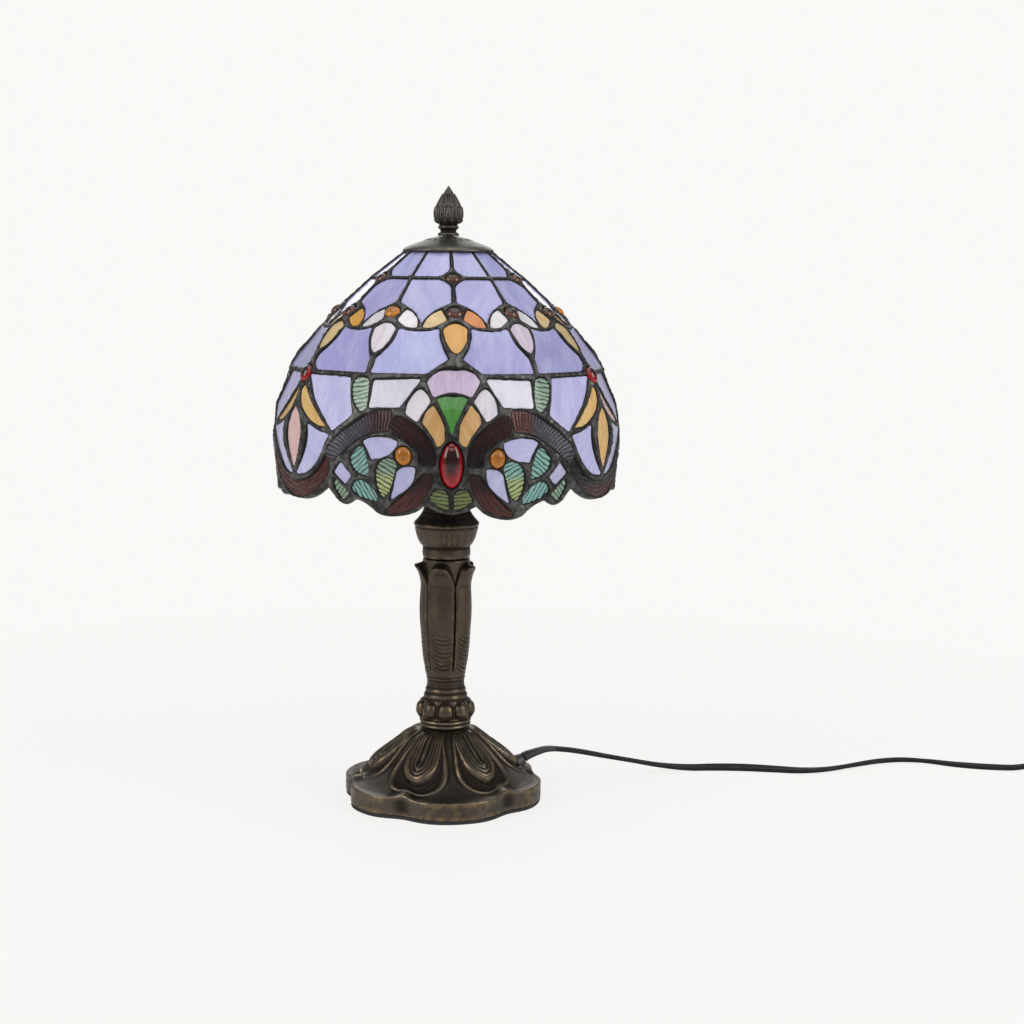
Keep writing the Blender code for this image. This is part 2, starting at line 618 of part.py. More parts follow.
# ================================================================ light
def make_harp():
    """Saddle, wire harp with its seat and stud, and the two sleeves that lock it."""
    strip = block_mesh(
        "harp_saddle", (2 * (SADDLE_REACH + SADDLE_END), SADDLE_WIDTH, SADDLE_THICKNESS),
        (0.0, 0.0, SADDLE_THICKNESS / 2))
    saddle = add_part("harp_saddle", strip, STEEL)
    saddle.location.z = Z_SADDLE
    for side, where in ((-1, "left"), (1, "right")):
        foot = (side * SADDLE_REACH, 0.0, Z_SADDLE + SADDLE_THICKNESS / 2)
        rod = rod_mesh("saddle_post_" + where, WIRE_RADIUS,
                       SADDLE_THICKNESS / 2 + POST_HEIGHT, 12, foot)
        boolean(saddle, add_cutter("saddle_post_" + where, rod), 'UNION')
    bore = rod_mesh("saddle_bore", PIPE_RADIUS + BORE_PLAY, SADDLE_THICKNESS + 4 * MM, 24,
                    (0.0, 0.0, Z_SADDLE - 2 * MM))
    boolean(saddle, add_cutter("saddle_bore", bore), 'DIFFERENCE')

    curve = bpy.data.curves.new("harp", 'CURVE')
    curve.dimensions = '3D'
    curve.bevel_depth = WIRE_RADIUS
    curve.bevel_resolution = 1
    curve.use_fill_caps = True
    half = harp_leg()
    points = half + [(-x, z) for x, z in reversed(half[:-1])]
    spline = curve.splines.new('POLY')
    spline.points.add(len(points) - 1)
    for point, (x, z) in zip(spline.points, points):
        point.co = (x, 0.0, z, 1.0)
    harp = mesh_of(add_part("harp", curve, STEEL))
    boss = rod_mesh("harp_boss", HARP_BOSS_RADIUS, HARP_BOSS_THICKNESS, 24,
                    (0.0, 0.0, Z_SEAT - HARP_BOSS_THICKNESS))
    boolean(harp, add_cutter("harp_boss", boss), 'UNION')
    stud_foot = Z_SEAT - HARP_BOSS_THICKNESS / 2
    stud_top = Z_FINIAL + STUD_IN_FINIAL
    stud = rod_mesh("harp_stud", STUD_RADIUS, stud_top - stud_foot, 24,
                    (0.0, 0.0, stud_foot))
    boolean(harp, add_cutter("harp_stud", stud), 'UNION')

    inner = WIRE_RADIUS + BORE_PLAY
    outer = inner + SLEEVE_WALL
    foot = Z_SADDLE_TOP + POST_HEIGHT - SLEEVE_LENGTH / 2
    for side, where in ((-1, "left"), (1, "right")):
        sleeve = turned("harp_sleeve_" + where, [
            (outer, SLEEVE_LENGTH), (outer, 0.0), (inner, 0.0), (inner, SLEEVE_LENGTH)],
            16, STEEL, z=foot, bored=True)
        sleeve.location.x = side * SADDLE_REACH


def harp_leg():
    """(x, z) points of the right half of the harp, from its foot to the top centre."""
    foot = Z_SADDLE_TOP + POST_HEIGHT + GAP
    straight = Z_SADDLE_TOP + HARP_STRAIGHT
    bow = Z_SADDLE_TOP + HARP_BOW_HEIGHT
    top = Z_SEAT - HARP_BOSS_THICKNESS / 2
    points = [(SADDLE_REACH, foot)]
    for i in range(7):
        t = i / 6.0
        x = SADDLE_REACH + (HARP_BOW - SADDLE_REACH) * (0.5 - 0.5 * math.cos(math.pi * t))
        points.append((x, straight + (bow - straight) * t))
    for i in range(1, 10):
        t = i / 9.0
        x = HARP_BOW * math.cos(math.pi / 2 * t) ** 0.9 if i < 9 else 0.0
        points.append((x, bow + (top - bow) * math.sin(math.pi / 2 * t) ** 1.15))
    return points


def bulb_outline(shrink):
    """Bulb from the crown down to the neck; shrink moves it inwards for the inside."""
    centre = BULB_HEIGHT - BULB_RADIUS
    radius = BULB_RADIUS - shrink
    neck = BULB_NECK_RADIUS - shrink
    points = []
    for i in range(9):
        angle = (90 - i * 14) * DEG
        points.append((radius * math.cos(angle), centre + radius * math.sin(angle)))
    points[0] = (0.0, centre + radius)
    start = points[-1]
    for i in range(1, 5):
        t = i / 4.0
        ease = (1 - t) ** 1.8
        points.append((neck + (start[0] - neck) * ease, start[1] * (1 - t)))
    return points


def make_light():
    """Socket shell, its ceramic core, and the screw-in bulb."""
    top = SOCKET_HEIGHT
    outer = SOCKET_RADIUS
    inner = SOCKET_RADIUS - SOCKET_WALL
    cap = SOCKET_CAP_HEIGHT
    bore = PIPE_RADIUS + BORE_PLAY
    turned("socket_shell", [
        (outer + 0.5 * MM, top), (outer + 0.5 * MM, top - 2 * MM), (outer, top - 2.5 * MM),
        (outer, cap + 1 * MM), (outer + 0.4 * MM, cap), (0.82 * outer, 0.30 * cap),
        (0.55 * outer, 0.0), (bore, 0.0), (bore, SOCKET_WALL),
        (0.55 * outer - SOCKET_WALL, SOCKET_WALL),
        (0.82 * outer - SOCKET_WALL, 0.30 * cap + SOCKET_WALL), (inner, cap + 1 * MM),
        (inner, top)], 32, BRASS, z=Z_SOCKET, bored=True)

    core_outer = inner - GAP
    core_inner = core_outer - CORE_WALL
    core_top = Z_SOCKET + SOCKET_HEIGHT - CORE_RECESS - Z_CORE
    turned("socket_core", [
        (0.0, CORE_FLOOR), (core_inner, CORE_FLOOR), (core_inner, core_top),
        (core_outer, core_top), (core_outer, 0.0), (0.0, 0.0)], 32, PORCELAIN, z=Z_CORE)

    height = BULB_CAP_HEIGHT
    groove = BULB_CAP_RADIUS - THREAD_DEPTH
    outline = [(0.0, height), (groove, height)]
    for i in range(THREAD_TURNS):
        crest = height - (i + 1) * THREAD_PITCH
        outline.append((groove, crest + THREAD_PITCH / 2))
        outline.append((BULB_CAP_RADIUS, crest))
    outline.append((groove, height - (THREAD_TURNS + 0.5) * THREAD_PITCH))
    outline.append((groove, 6.0 * MM))
    outline.append((BULB_TIP_RADIUS, 2.0 * MM))
    outline.append((0.6 * BULB_TIP_RADIUS, 0.0))
    outline.append((0.0, 0.0))
    turned("bulb_cap", outline, 24, BRASS, z=Z_BULB)

    skin = bulb_outline(0.0) + list(reversed(bulb_outline(BULB_WALL)))
    turned("bulb_glass", skin, 24, CLEAR, z=Z_BULB_GLASS)


# ================================================================ shade
def many_sided(azimuth, weight=1.0):
    """Share of the corner radius that a regular polygon has at an azimuth."""
    half = math.pi / SHADE_SIDES
    offset = (azimuth % (2 * half)) - half
    flat = math.cos(half) / math.cos(offset)
    return 1.0 + weight * (flat - 1.0)


def skirt_radius(drop):
    """Radius of the skirt over its ribs at a drop below the crown's edge."""
    if drop < BELLY_DROP:
        share = (BELLY_DROP - drop) / (BELLY_DROP - RING_2_DROP)
        return SHADE_RADIUS - (SHADE_RADIUS - RING_2_RADIUS) * share ** BELLY_POWER
    return SHADE_RADIUS - HEM_INSET * (drop - BELLY_DROP) / (HEM_DROP - BELLY_DROP)


def hem_rise(azimuth_degrees):
    """How far the hem stays above the lowest scallop at an azimuth."""
    folded = abs((azimuth_degrees + 60.0) % 120.0 - 60.0)
    places = [place for place, _ in HEM_POINTS]
    rises = [rise for _, rise in HEM_POINTS]
    return float(np.interp(folded, places, rises))


def facet_corner(radius, drop, side):
    """Corner of the panelled crown on one of its ribs."""
    azimuth = 2 * math.pi * side / SHADE_SIDES
    return Vector((*polar(radius, azimuth), Z_CROWN - drop))


CROWN_ROWS = (
    ("crown_pane", CROWN_RADIUS, 0.0, RING_1_RADIUS, RING_1_DROP, LAVENDER),
    ("shoulder_pane", RING_1_RADIUS, RING_1_DROP, RING_2_RADIUS, RING_2_DROP, VIOLET),
)


def inset_quad(corners, distance):
    """Move the four sides of a flat quad inwards by the same distance."""
    normal = (corners[1] - corners[0]).cross(corners[3] - corners[0]).normalized()
    inner = []
    for i in range(4):
        here = corners[i]
        back = (corners[i - 1] - here).normalized()
        ahead = (corners[(i + 1) % 4] - here).normalized()
        scale = distance / back.cross(ahead).length
        inner.append(here + (back + ahead) * scale)
    return inner, normal


def facet(row, side):
    """Corners of one flat facet, seen from outside: top left, bottom left, and round."""
    _, r_top, d_top, r_low, d_low, _ = row
    return [facet_corner(r_top, d_top, side), facet_corner(r_low, d_low, side),
            facet_corner(r_low, d_low, side + 1), facet_corner(r_top, d_top, side + 1)]


def make_crown(shade):
    """The flat panes of the two upper rows and the solder lattice that holds them."""
    work = bmesh.new()
    for row in CROWN_ROWS:
        for side in range(SHADE_SIDES):
            corners = facet(row, side)
            opening, normal = inset_quad(corners, CAME_WIDTH / 2)
            outer = [work.verts.new(corner) for corner in corners]
            inner = [work.verts.new(corner) for corner in opening]
            for i in range(4):
                k = (i + 1) % 4
                work.faces.new((outer[i], outer[k], inner[k], inner[i]))

            pane, _ = inset_quad(corners, CAME_WIDTH / 2 + GAP)
            face = [corner - normal * PANE_RECESS for corner in pane]
            name = "%s_%02d" % (row[0], side + 1)
            mesh = mesh_from(name, face, [(0, 1, 2, 3)])
            part = add_part(name, mesh, row[5], shade)
            shell = part.modifiers.new("thickness", 'SOLIDIFY')
            shell.thickness = PANE_THICKNESS
            shell.offset = -1.0
    bmesh.ops.remove_doubles(work, verts=work.verts, dist=MERGE)
    mesh = bpy.data.meshes.new("solder_lattice")
    work.to_mesh(mesh)
    work.free()
    lattice = add_part("solder_lattice", mesh, SOLDER, shade)
    shell = lattice.modifiers.new("thickness", 'SOLIDIFY')
    shell.thickness = LATTICE_THICKNESS
    shell.offset = -1.0
    shell.use_even_offset = True


def skirt_columns(number):
    """Azimuths in degrees of one skirt's columns: ribs, tips and notches of the hem."""
    centre = 60.0 * number
    marks = set()
    for place, _ in HEM_POINTS:
        for turn in range(-1, 5):
            marks.update((120.0 * turn + place, 120.0 * turn - place))
    marks.update((centre - 30.0, centre, centre + 30.0))
    columns = sorted(m for m in marks if centre - 30.0 <= m <= centre + 30.0)
    seam = SKIRT_SEAM / 2 / SHADE_RADIUS / DEG
    columns[0] += seam
    columns[-1] -= seam
    return columns


def skirt_point(azimuth, drop, normal, depth):
    """A point of the skirt, moved in by depth along a normal of its profile."""
    facets = np.clip((BELLY_DROP - drop) / (BELLY_DROP - RING_3_DROP), 0.0, 1.0)
    radius = (skirt_radius(drop) - depth * normal[0]) * many_sided(azimuth, facets)
    return (*polar(radius, azimuth), Z_CROWN - drop - depth * normal[1])


def make_skirt(number, shade):
    """One sixth of the skirt, from ring 2 down to the scalloped hem.

    Its inner face follows the outer one along the profile's own normals, so that the
    seams between neighbours lie in planes through the lamp's axis.
    """
    columns = [degrees * DEG for degrees in skirt_columns(number)]
    first = RING_2_DROP + GAP
    upper = [first, 0.5 * (first + RING_3_DROP), RING_3_DROP,
             0.5 * (RING_3_DROP + BELLY_DROP), BELLY_DROP]
    rows = len(upper) + 2
    shoulder = Vector((RING_2_DROP - RING_1_DROP, RING_2_RADIUS - RING_1_RADIUS))
    outer = []
    inner = []
    for i in range(rows):
        for azimuth in columns:
            if i < len(upper):
                drop = upper[i]
            else:
                hem = HEM_DROP - hem_rise(azimuth / DEG)
                drop = BELLY_DROP + (hem - BELLY_DROP) * (i - len(upper) + 1) / 2.0
            slope = skirt_radius(drop + MM) - skirt_radius(drop)
            normal = Vector((MM, slope)).normalized()
            if i == 0:
                normal = shoulder.normalized()
            outer.append(skirt_point(azimuth, drop, normal, 0.0))
            inner.append(skirt_point(azimuth, drop, normal, SKIRT_THICKNESS))
    wide = len(columns)
    back = rows * wide
    faces = []
    for i in range(rows - 1):
        for j in range(wide - 1):
            a = i * wide + j
            quad = (a, a + wide, a + wide + 1, a + 1)
            faces.append(quad)
            faces.append(tuple(back + v for v in reversed(quad)))
    for j in range(wide - 1):
        top = j
        low = (rows - 1) * wide + j
        faces.append((top, top + 1, back + top + 1, back + top))
        faces.append((low + 1, low, back + low, back + low + 1))
    for i in range(rows - 1):
        left = i * wide
        right = left + wide - 1
        faces.append((left + wide, left, back + left, back + left + wide))
        faces.append((right, right + wide, back + right + wide, back + right))
    name = "shade_skirt_%d" % (number + 1)
    mesh = mesh_from(name, outer + inner, faces)
    mesh.shade_smooth()
    mesh.set_sharp_from_angle(angle=40 * DEG)
    add_part(name, mesh, MOTIF, shade)


def make_cap_and_finial(shade):
    """Washer on the harp's seat, spun vase cap with its vents, and the bud finial."""
    stud_bore = STUD_RADIUS + BORE_PLAY
    turned("shade_washer", [
        (WASHER_RADIUS, WASHER_THICKNESS), (WASHER_RADIUS, 0.0),
        (stud_bore, 0.0), (stud_bore, WASHER_THICKNESS)], 24, BRASS, z=Z_WASHER, bored=True)

    # share of the way from the flat top to the rim, share of the height
    slope = [(0.0, 0.0), (0.19, 0.10), (0.41, 0.27), (0.66, 0.46), (0.87, 0.64),
             (0.97, 0.80), (1.0, 0.90), (0.995, 1.0)]
    outside = [(stud_bore, 0.0)]
    inside = [(stud_bore, -CAP_WALL)]
    for out, down in slope:
        radius = CAP_FLAT + out * (CAP_RADIUS - CAP_FLAT)
        outside.append((radius, -down * CAP_HEIGHT))
        if down < 1.0:
            inside.append((radius - CAP_WALL * down, -down * CAP_HEIGHT
                           - CAP_WALL * (1.0 - down) ** 0.5))
    inside.append((CAP_RADIUS - CAP_WALL, -CAP_HEIGHT))
    cap = turned("vase_cap", outside + list(reversed(inside)), 36, BRONZE,
                 z=Z_CAP, bored=True, parent=shade)
    for i in range(CAP_VENTS):
        azimuth = 2 * math.pi * (i + 0.5) / CAP_VENTS
        place = (*polar(VENT_CIRCLE, azimuth), Z_CAP - CAP_HEIGHT)
        vent = rod_mesh("vent_%d" % (i + 1), VENT_RADIUS, CAP_HEIGHT, 8, place)
        boolean(cap, add_cutter("vent_%d" % (i + 1), vent), 'DIFFERENCE')

    bud = [
        (0.0, 1.0), (0.35, 0.918), (0.58, 0.80), (0.84, 0.68), (0.93, 0.558),
        (1.0, 0.439), (0.967, 0.32), (0.88, 0.259), (0.747, 0.20), (0.615, 0.14),
        (0.615, 0.078), (0.68, 0.03), (0.67, 0.0),
    ]
    outline = [(r * FINIAL_RADIUS, z * FINIAL_HEIGHT) for r, z in bud]
    bore_end = STUD_IN_FINIAL + FINIAL_BORE_SPARE
    outline += [(stud_bore, 0.0), (stud_bore, bore_end), (0.0, bore_end + 1.5 * MM)]
    turned("finial", outline, 24, BRASS, z=Z_FINIAL, parent=shade)


# ================================================================ cord
def make_cord():
    """Lead inside the stand, and the cord on the table with its switch and plug."""
    bushing = bushing_frame()
    across = Vector((*polar(1.0, BUSHING_AZIMUTH), 0.0))
    tail = bushing @ Vector((0.0, 0.0, -BUSHING_IN - GAP))
    reach = tail.dot(across)
    low = PAD_THICKNESS + 4.5 * MM
    lead = [(reach, tail.z), (0.86 * reach, tail.z - 2.6 * MM), (0.68 * reach, low + 1.3 * MM),
            (0.50 * reach, low), (0.33 * reach, low + 1.2 * MM), (0.17 * reach, low + 5.0 * MM),
            (0.06 * reach, low + 11.0 * MM), (0.0, low + 18.0 * MM), (0.0, low + 26.0 * MM)]
    route = [(*(across * distance).xy, height) for distance, height in lead]
    points = [tuple(p) for p in smooth_path(route, CORD_STEP / 2)]
    points.append((0.0, 0.0, Z_CORE - GAP))
    flat_cord("inner_lead", points, [90 * DEG] * len(points), 'MINIMUM')

    start = bushing @ Vector((0.0, 0.0, BUSHING_OUT + GAP))
    lead_out = bushing @ Vector((0.0, 0.0, BUSHING_OUT + GAP + CORD_LEAD_OUT))
    path = smooth_path((tuple(lead_out),) + ROUTE_TO_SWITCH, CORD_STEP)
    path = np.vstack([start, path])
    flat_cord("cord_to_switch", path, [90 * DEG] * len(path))

    path = smooth_path(ROUTE_TO_COIL, CORD_STEP / 2)
    tilts = np.linspace(90 * DEG, 0.0, len(path))
    flat_cord("cord_to_coil", path, tilts)

    coil = turned("cord_coil", [
        (COIL_OUTER - 1 * MM, COIL_HEIGHT), (COIL_OUTER, COIL_HEIGHT - 1 * MM),
        (COIL_OUTER, 1 * MM), (COIL_OUTER - 1 * MM, 0.0), (COIL_INNER + 1 * MM, 0.0),
        (COIL_INNER, 1 * MM), (COIL_INNER, COIL_HEIGHT - 1 * MM),
        (COIL_INNER + 1 * MM, COIL_HEIGHT)], 40, CORD_PVC, z=CORD_LIFT, bored=True)
    coil.location.x, coil.location.y = COIL_CENTRE

    path = np.array(ROUTE_TO_PLUG)
    flat_cord("cord_to_plug", path, [0.0] * len(path))
    make_switch()
    make_plug()


def rounded_outline(length, width, corner):
    """Outline of a rectangle whose corners are quarter circles."""
    points = []
    for quarter in range(4):
        sx = 1 if quarter in (0, 3) else -1
        sy = 1 if quarter in (0, 1) else -1
        for i in range(4):
            angle = (quarter * 90 + i * 30) * DEG
            points.append((sx * (length / 2 - corner) + corner * math.cos(angle),
                           sy * (width / 2 - corner) + corner * math.sin(angle)))
    return points


def make_switch():
    """In-line switch: two shells that close on the cord, and a rocker in the upper one."""
    x, y = SWITCH_CENTRE
    outline = rounded_outline(SWITCH_LENGTH, SWITCH_WIDTH, SWITCH_CORNER)
    hollow = (SWITCH_LENGTH - 2 * SWITCH_WALL, SWITCH_WIDTH - 2 * SWITCH_WALL,
              SWITCH_SHELL_HEIGHT)
    levels = {"bottom": SWITCH_LIFT, "top": SWITCH_LIFT + SWITCH_SHELL_HEIGHT + GAP}
    for which, foot in levels.items():
        name = "switch_" + which
        curve_part = plate(name, outline, SWITCH_SHELL_HEIGHT, BLACK_PLASTIC, z=foot)
        shell = mesh_of(curve_part)
        shell.location.x, shell.location.y = x, y
        shift = SWITCH_WALL if which == "bottom" else -SWITCH_WALL
        middle = foot + SWITCH_SHELL_HEIGHT / 2 + shift
        room = add_cutter(name + "_room", block_mesh(name + "_room", hollow, (x, y, middle)))
        boolean(shell, room, 'DIFFERENCE')
        if which == "top":
            slot = (ROCKER_LENGTH + 2 * SLOT_PLAY, ROCKER_WIDTH + 2 * GAP,
                    2 * SWITCH_SHELL_HEIGHT)
            mesh = block_mesh("rocker_slot", slot, (x, y, foot + SWITCH_SHELL_HEIGHT))
            boolean(shell, add_cutter("rocker_slot", mesh), 'DIFFERENCE')

    end = ROCKER_LENGTH / 2
    level = [(-0.35 * end, -ROCKER_DEPTH), (0.35 * end, -ROCKER_DEPTH),
             (end, -0.4 * ROCKER_DEPTH), (end, ROCKER_RISE), (0.0, 0.62 * ROCKER_RISE),
             (-end, ROCKER_RISE), (-end, -0.4 * ROCKER_DEPTH)]
    rocker = plate("switch_rocker", level, ROCKER_WIDTH, BLACK_PLASTIC)
    stand_up = Matrix.Rotation(90 * DEG, 4, 'X')
    tip = Matrix.Rotation(ROCKER_THROW / 2, 4, 'Y')
    rocker.matrix_world = Matrix.Translation((x, y, ROCKER_PIVOT)) @ tip @ stand_up


def plug_section(place, half_width, half_depth, power):
    """Sixteen points of a rounded section across X at one place along the plug."""
    ring = []
    for i in range(16):
        angle = 2 * math.pi * i / 16
        cos, sin = math.cos(angle), math.sin(angle)
        ring.append((place, half_width * math.copysign(abs(cos) ** power, cos),
                     half_depth * math.copysign(abs(sin) ** power, sin)))
    return ring


def make_plug():
    """Moulded two-blade plug with a tapered strain relief; its face looks towards -X."""
    rear = Vector(ROUTE_TO_PLUG[-1])
    face_x = rear.x - GAP - PLUG_LENGTH
    half_w, half_d = PLUG_WIDTH / 2, PLUG_DEPTH / 2
    tail_w = PLUG_TAIL_SCALE * CORD_THICKNESS / 2 + 0.8 * MM
    tail_d = PLUG_TAIL_SCALE * CORD_WIDTH / 2
    stations = [
        (0.0, 0.93 * half_w, 0.93 * half_d, 0.5), (0.03, half_w, half_d, 0.5),
        (0.34, half_w, half_d, 0.5), (0.48, 0.80 * half_w, 0.78 * half_d, 0.6),
        (0.60, 0.48 * half_w, 0.52 * half_d, 0.75), (1.0, tail_w, tail_d, 0.85),
    ]
    rings = [plug_section(share * PLUG_LENGTH, w, d, power)
             for share, w, d, power in stations]
    points = [p for ring in rings for p in ring]
    faces = [tuple(range(15, -1, -1)), tuple(80 + i for i in range(16))]
    for i in range(len(rings) - 1):
        for j in range(16):
            k = (j + 1) % 16
            faces.append((16 * i + j, 16 * i + k, 16 * i + 16 + k, 16 * i + 16 + j))
    mesh = mesh_from("plug_body", points, faces)
    mesh.shade_smooth()
    mesh.set_sharp_from_angle(angle=40 * DEG)
    plug = add_part("plug_body", mesh, BLACK_PLASTIC)
    plug.location = (face_x, rear.y, rear.z)
    for side, where in ((-1, "left"), (1, "right")):
        y = rear.y + side * BLADE_SPACING / 2
        pocket = (2 * BLADE_ROOT, BLADE_THICKNESS + 2 * GAP, BLADE_WIDTH + 2 * GAP)
        mesh = block_mesh("blade_pocket_" + where, pocket, (face_x, y, rear.z))
        boolean(plug, add_cutter("blade_pocket_" + where, mesh), 'DIFFERENCE')
        length = BLADE_LENGTH + BLADE_ROOT - GAP
        middle = face_x + BLADE_ROOT - GAP - length / 2
        name = "plug_blade_" + where
        blade = add_part(name, block_mesh(name, (length, BLADE_THICKNESS, BLADE_WIDTH)), BRASS)
        blade.location = (middle, y, rear.z)


clear_scene()
PARTS = new_collection("stained_glass_table_lamp")
CUTTERS = new_collection("cutters")
SHADE_AXIS = bpy.data.objects.new("shade_axis", None)
PARTS.objects.link(SHADE_AXIS)
SHADE_AXIS.rotation_euler.z = SHADE_TURN

make_stand()
make_harp()
make_light()
make_crown(SHADE_AXIS)
for SKIRT in range(6):
    make_skirt(SKIRT, SHADE_AXIS)
make_cap_and_finial(SHADE_AXIS)
make_cord()
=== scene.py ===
"""Looks of the stained glass table lamp, laid out as a Blender add-on and run as a script.

The shape functions count lengths in millimetres, and a piece becomes metres where its
mesh is made. Azimuths are in degrees from the front (-Y) towards +X. On the shade, a drop
is counted down from the crown's edge, and an azimuth from the middle of a front motif.
"""

import math
from collections import namedtuple
from contextlib import contextmanager

import bpy
import bmesh
import numpy as np
from mathutils import Matrix, Vector


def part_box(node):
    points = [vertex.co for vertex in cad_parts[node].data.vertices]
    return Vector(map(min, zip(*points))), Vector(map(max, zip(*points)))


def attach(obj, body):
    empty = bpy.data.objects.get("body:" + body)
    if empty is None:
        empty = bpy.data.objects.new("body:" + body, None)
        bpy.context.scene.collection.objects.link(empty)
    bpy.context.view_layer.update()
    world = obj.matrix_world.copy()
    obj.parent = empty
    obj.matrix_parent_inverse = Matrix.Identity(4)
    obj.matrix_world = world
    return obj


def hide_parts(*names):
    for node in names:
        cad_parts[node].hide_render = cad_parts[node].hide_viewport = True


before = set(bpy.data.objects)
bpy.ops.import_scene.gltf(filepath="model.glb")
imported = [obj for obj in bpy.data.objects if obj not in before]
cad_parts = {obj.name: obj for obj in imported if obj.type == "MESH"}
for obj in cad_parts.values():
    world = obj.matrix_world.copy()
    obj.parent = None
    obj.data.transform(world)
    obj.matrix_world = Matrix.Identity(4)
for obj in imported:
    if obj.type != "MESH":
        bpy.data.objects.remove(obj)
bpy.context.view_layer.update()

bl_info = {
    "name": "Stained Glass Table Lamp", "version": (1, 0, 0),
    "blender": (4, 5, 0),
    "location": "View3D > Sidebar > Lamp",
    "description": "Builds a leaded glass lamp on a cast bronze stand, part by part",
    "category": "Add Mesh", }

MM = 0.001
DEG = math.pi / 180.0
CURVE_STEPS = 10  # between two points of a smooth curve


def frame_box(node):
    """Lowest and highest corner of a CAD node, in millimetres."""
    low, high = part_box(node)
    return np.array(low) / MM, np.array(high) / MM


# ---- shade
Z_CROWN = frame_box("solder_lattice")[1][2]
SHADE_SIDES = 12
SHADE_TURN = 1.5  # degrees, rest position of the shade on its stud
SHADE_RADIUS = 100.8
CROWN_RADIUS = 27.1
RING_1_RADIUS = 45.1
RING_1_DROP = 14.3
RING_2_RADIUS = 76.7
RING_2_DROP = 43.5
RING_3_DROP = 70.5
BELLY_DROP = 104.5
BELLY_POWER = 2.1
HEM_DROP = 141.7
HEM_INSET = 3.4
HEM_ROWS_FROM = 90.0  # rows below this drop bend to follow the hem
GLASS_THICKNESS = 2.8
SIXTH = 60.0  # degrees from the middle of a front motif to a side motif
SKIN_DEPTH = 2.2  # from the outermost solder to the middle of the glass
EDGE_ROUNDING = 1.5  # of the solder at the hem and at the crown
CORNER_ROUNDS = 3  # smoothing passes over an outline's corners

# Lines on the shade are chains of smooth runs of (azimuth, drop) that meet in corners. A
# run starts where the one before it ended. First the scalloped hem over one sixth.
HEM_RUNS = (((0, 139.4), (4, 138), (7.9, 134.8)), ((10.2, 138.4), (13, 140.8), (16.5, 142.3),
    (19.8, 142.6), (22.8, 141.2), (25.2, 138), (28, 135), (31.3, 133.2), (33.5, 134.9),
    (35.8, 136.1), (38.2, 134.4), (40.4, 130.8), (42.6, 126.8)), ((45, 129.6), (48, 132.6),
    (51.5, 134.8), (56, 136), (60, 136.2)))

# Outlines of the glass in one sixth of the shade.
CROWN_PANE = (((2.2, 0.6), (1.9, 9.6)), ((3.2, 11.2), (6, 12.9), (9.5, 14.2)), ((28.5, 14.2),),
    ((28, 0.6),), ((2.2, 0.6),))
SHOULDER_PANE = (((1.5, 20.2), (2.8, 18.8), (5.5, 17.3), (9.3, 16.1)), ((28.6, 16.1),),
    ((28.4, 28.5),), ((24.5, 30.3), (20, 32.9), (16.7, 36.3), (15, 39.6)), ((13.3, 36.3),
    (10, 32.9), (5.5, 30.3), (1.6, 28.5)), ((1.5, 20.2),))
SIDE_PETAL = (((6.3, 32.2), (10.2, 34.3), (12.9, 37.6), (13.9, 41.7)), ((10, 41.6), (6.3, 39.6),
    (3.7, 37.6)), ((6.3, 32.2),))
LOWER_PETAL = (((0, 39), (2.4, 40.2), (4.9, 42.6)), ((4.1, 47.6), (2.4, 52), (0, 55)))
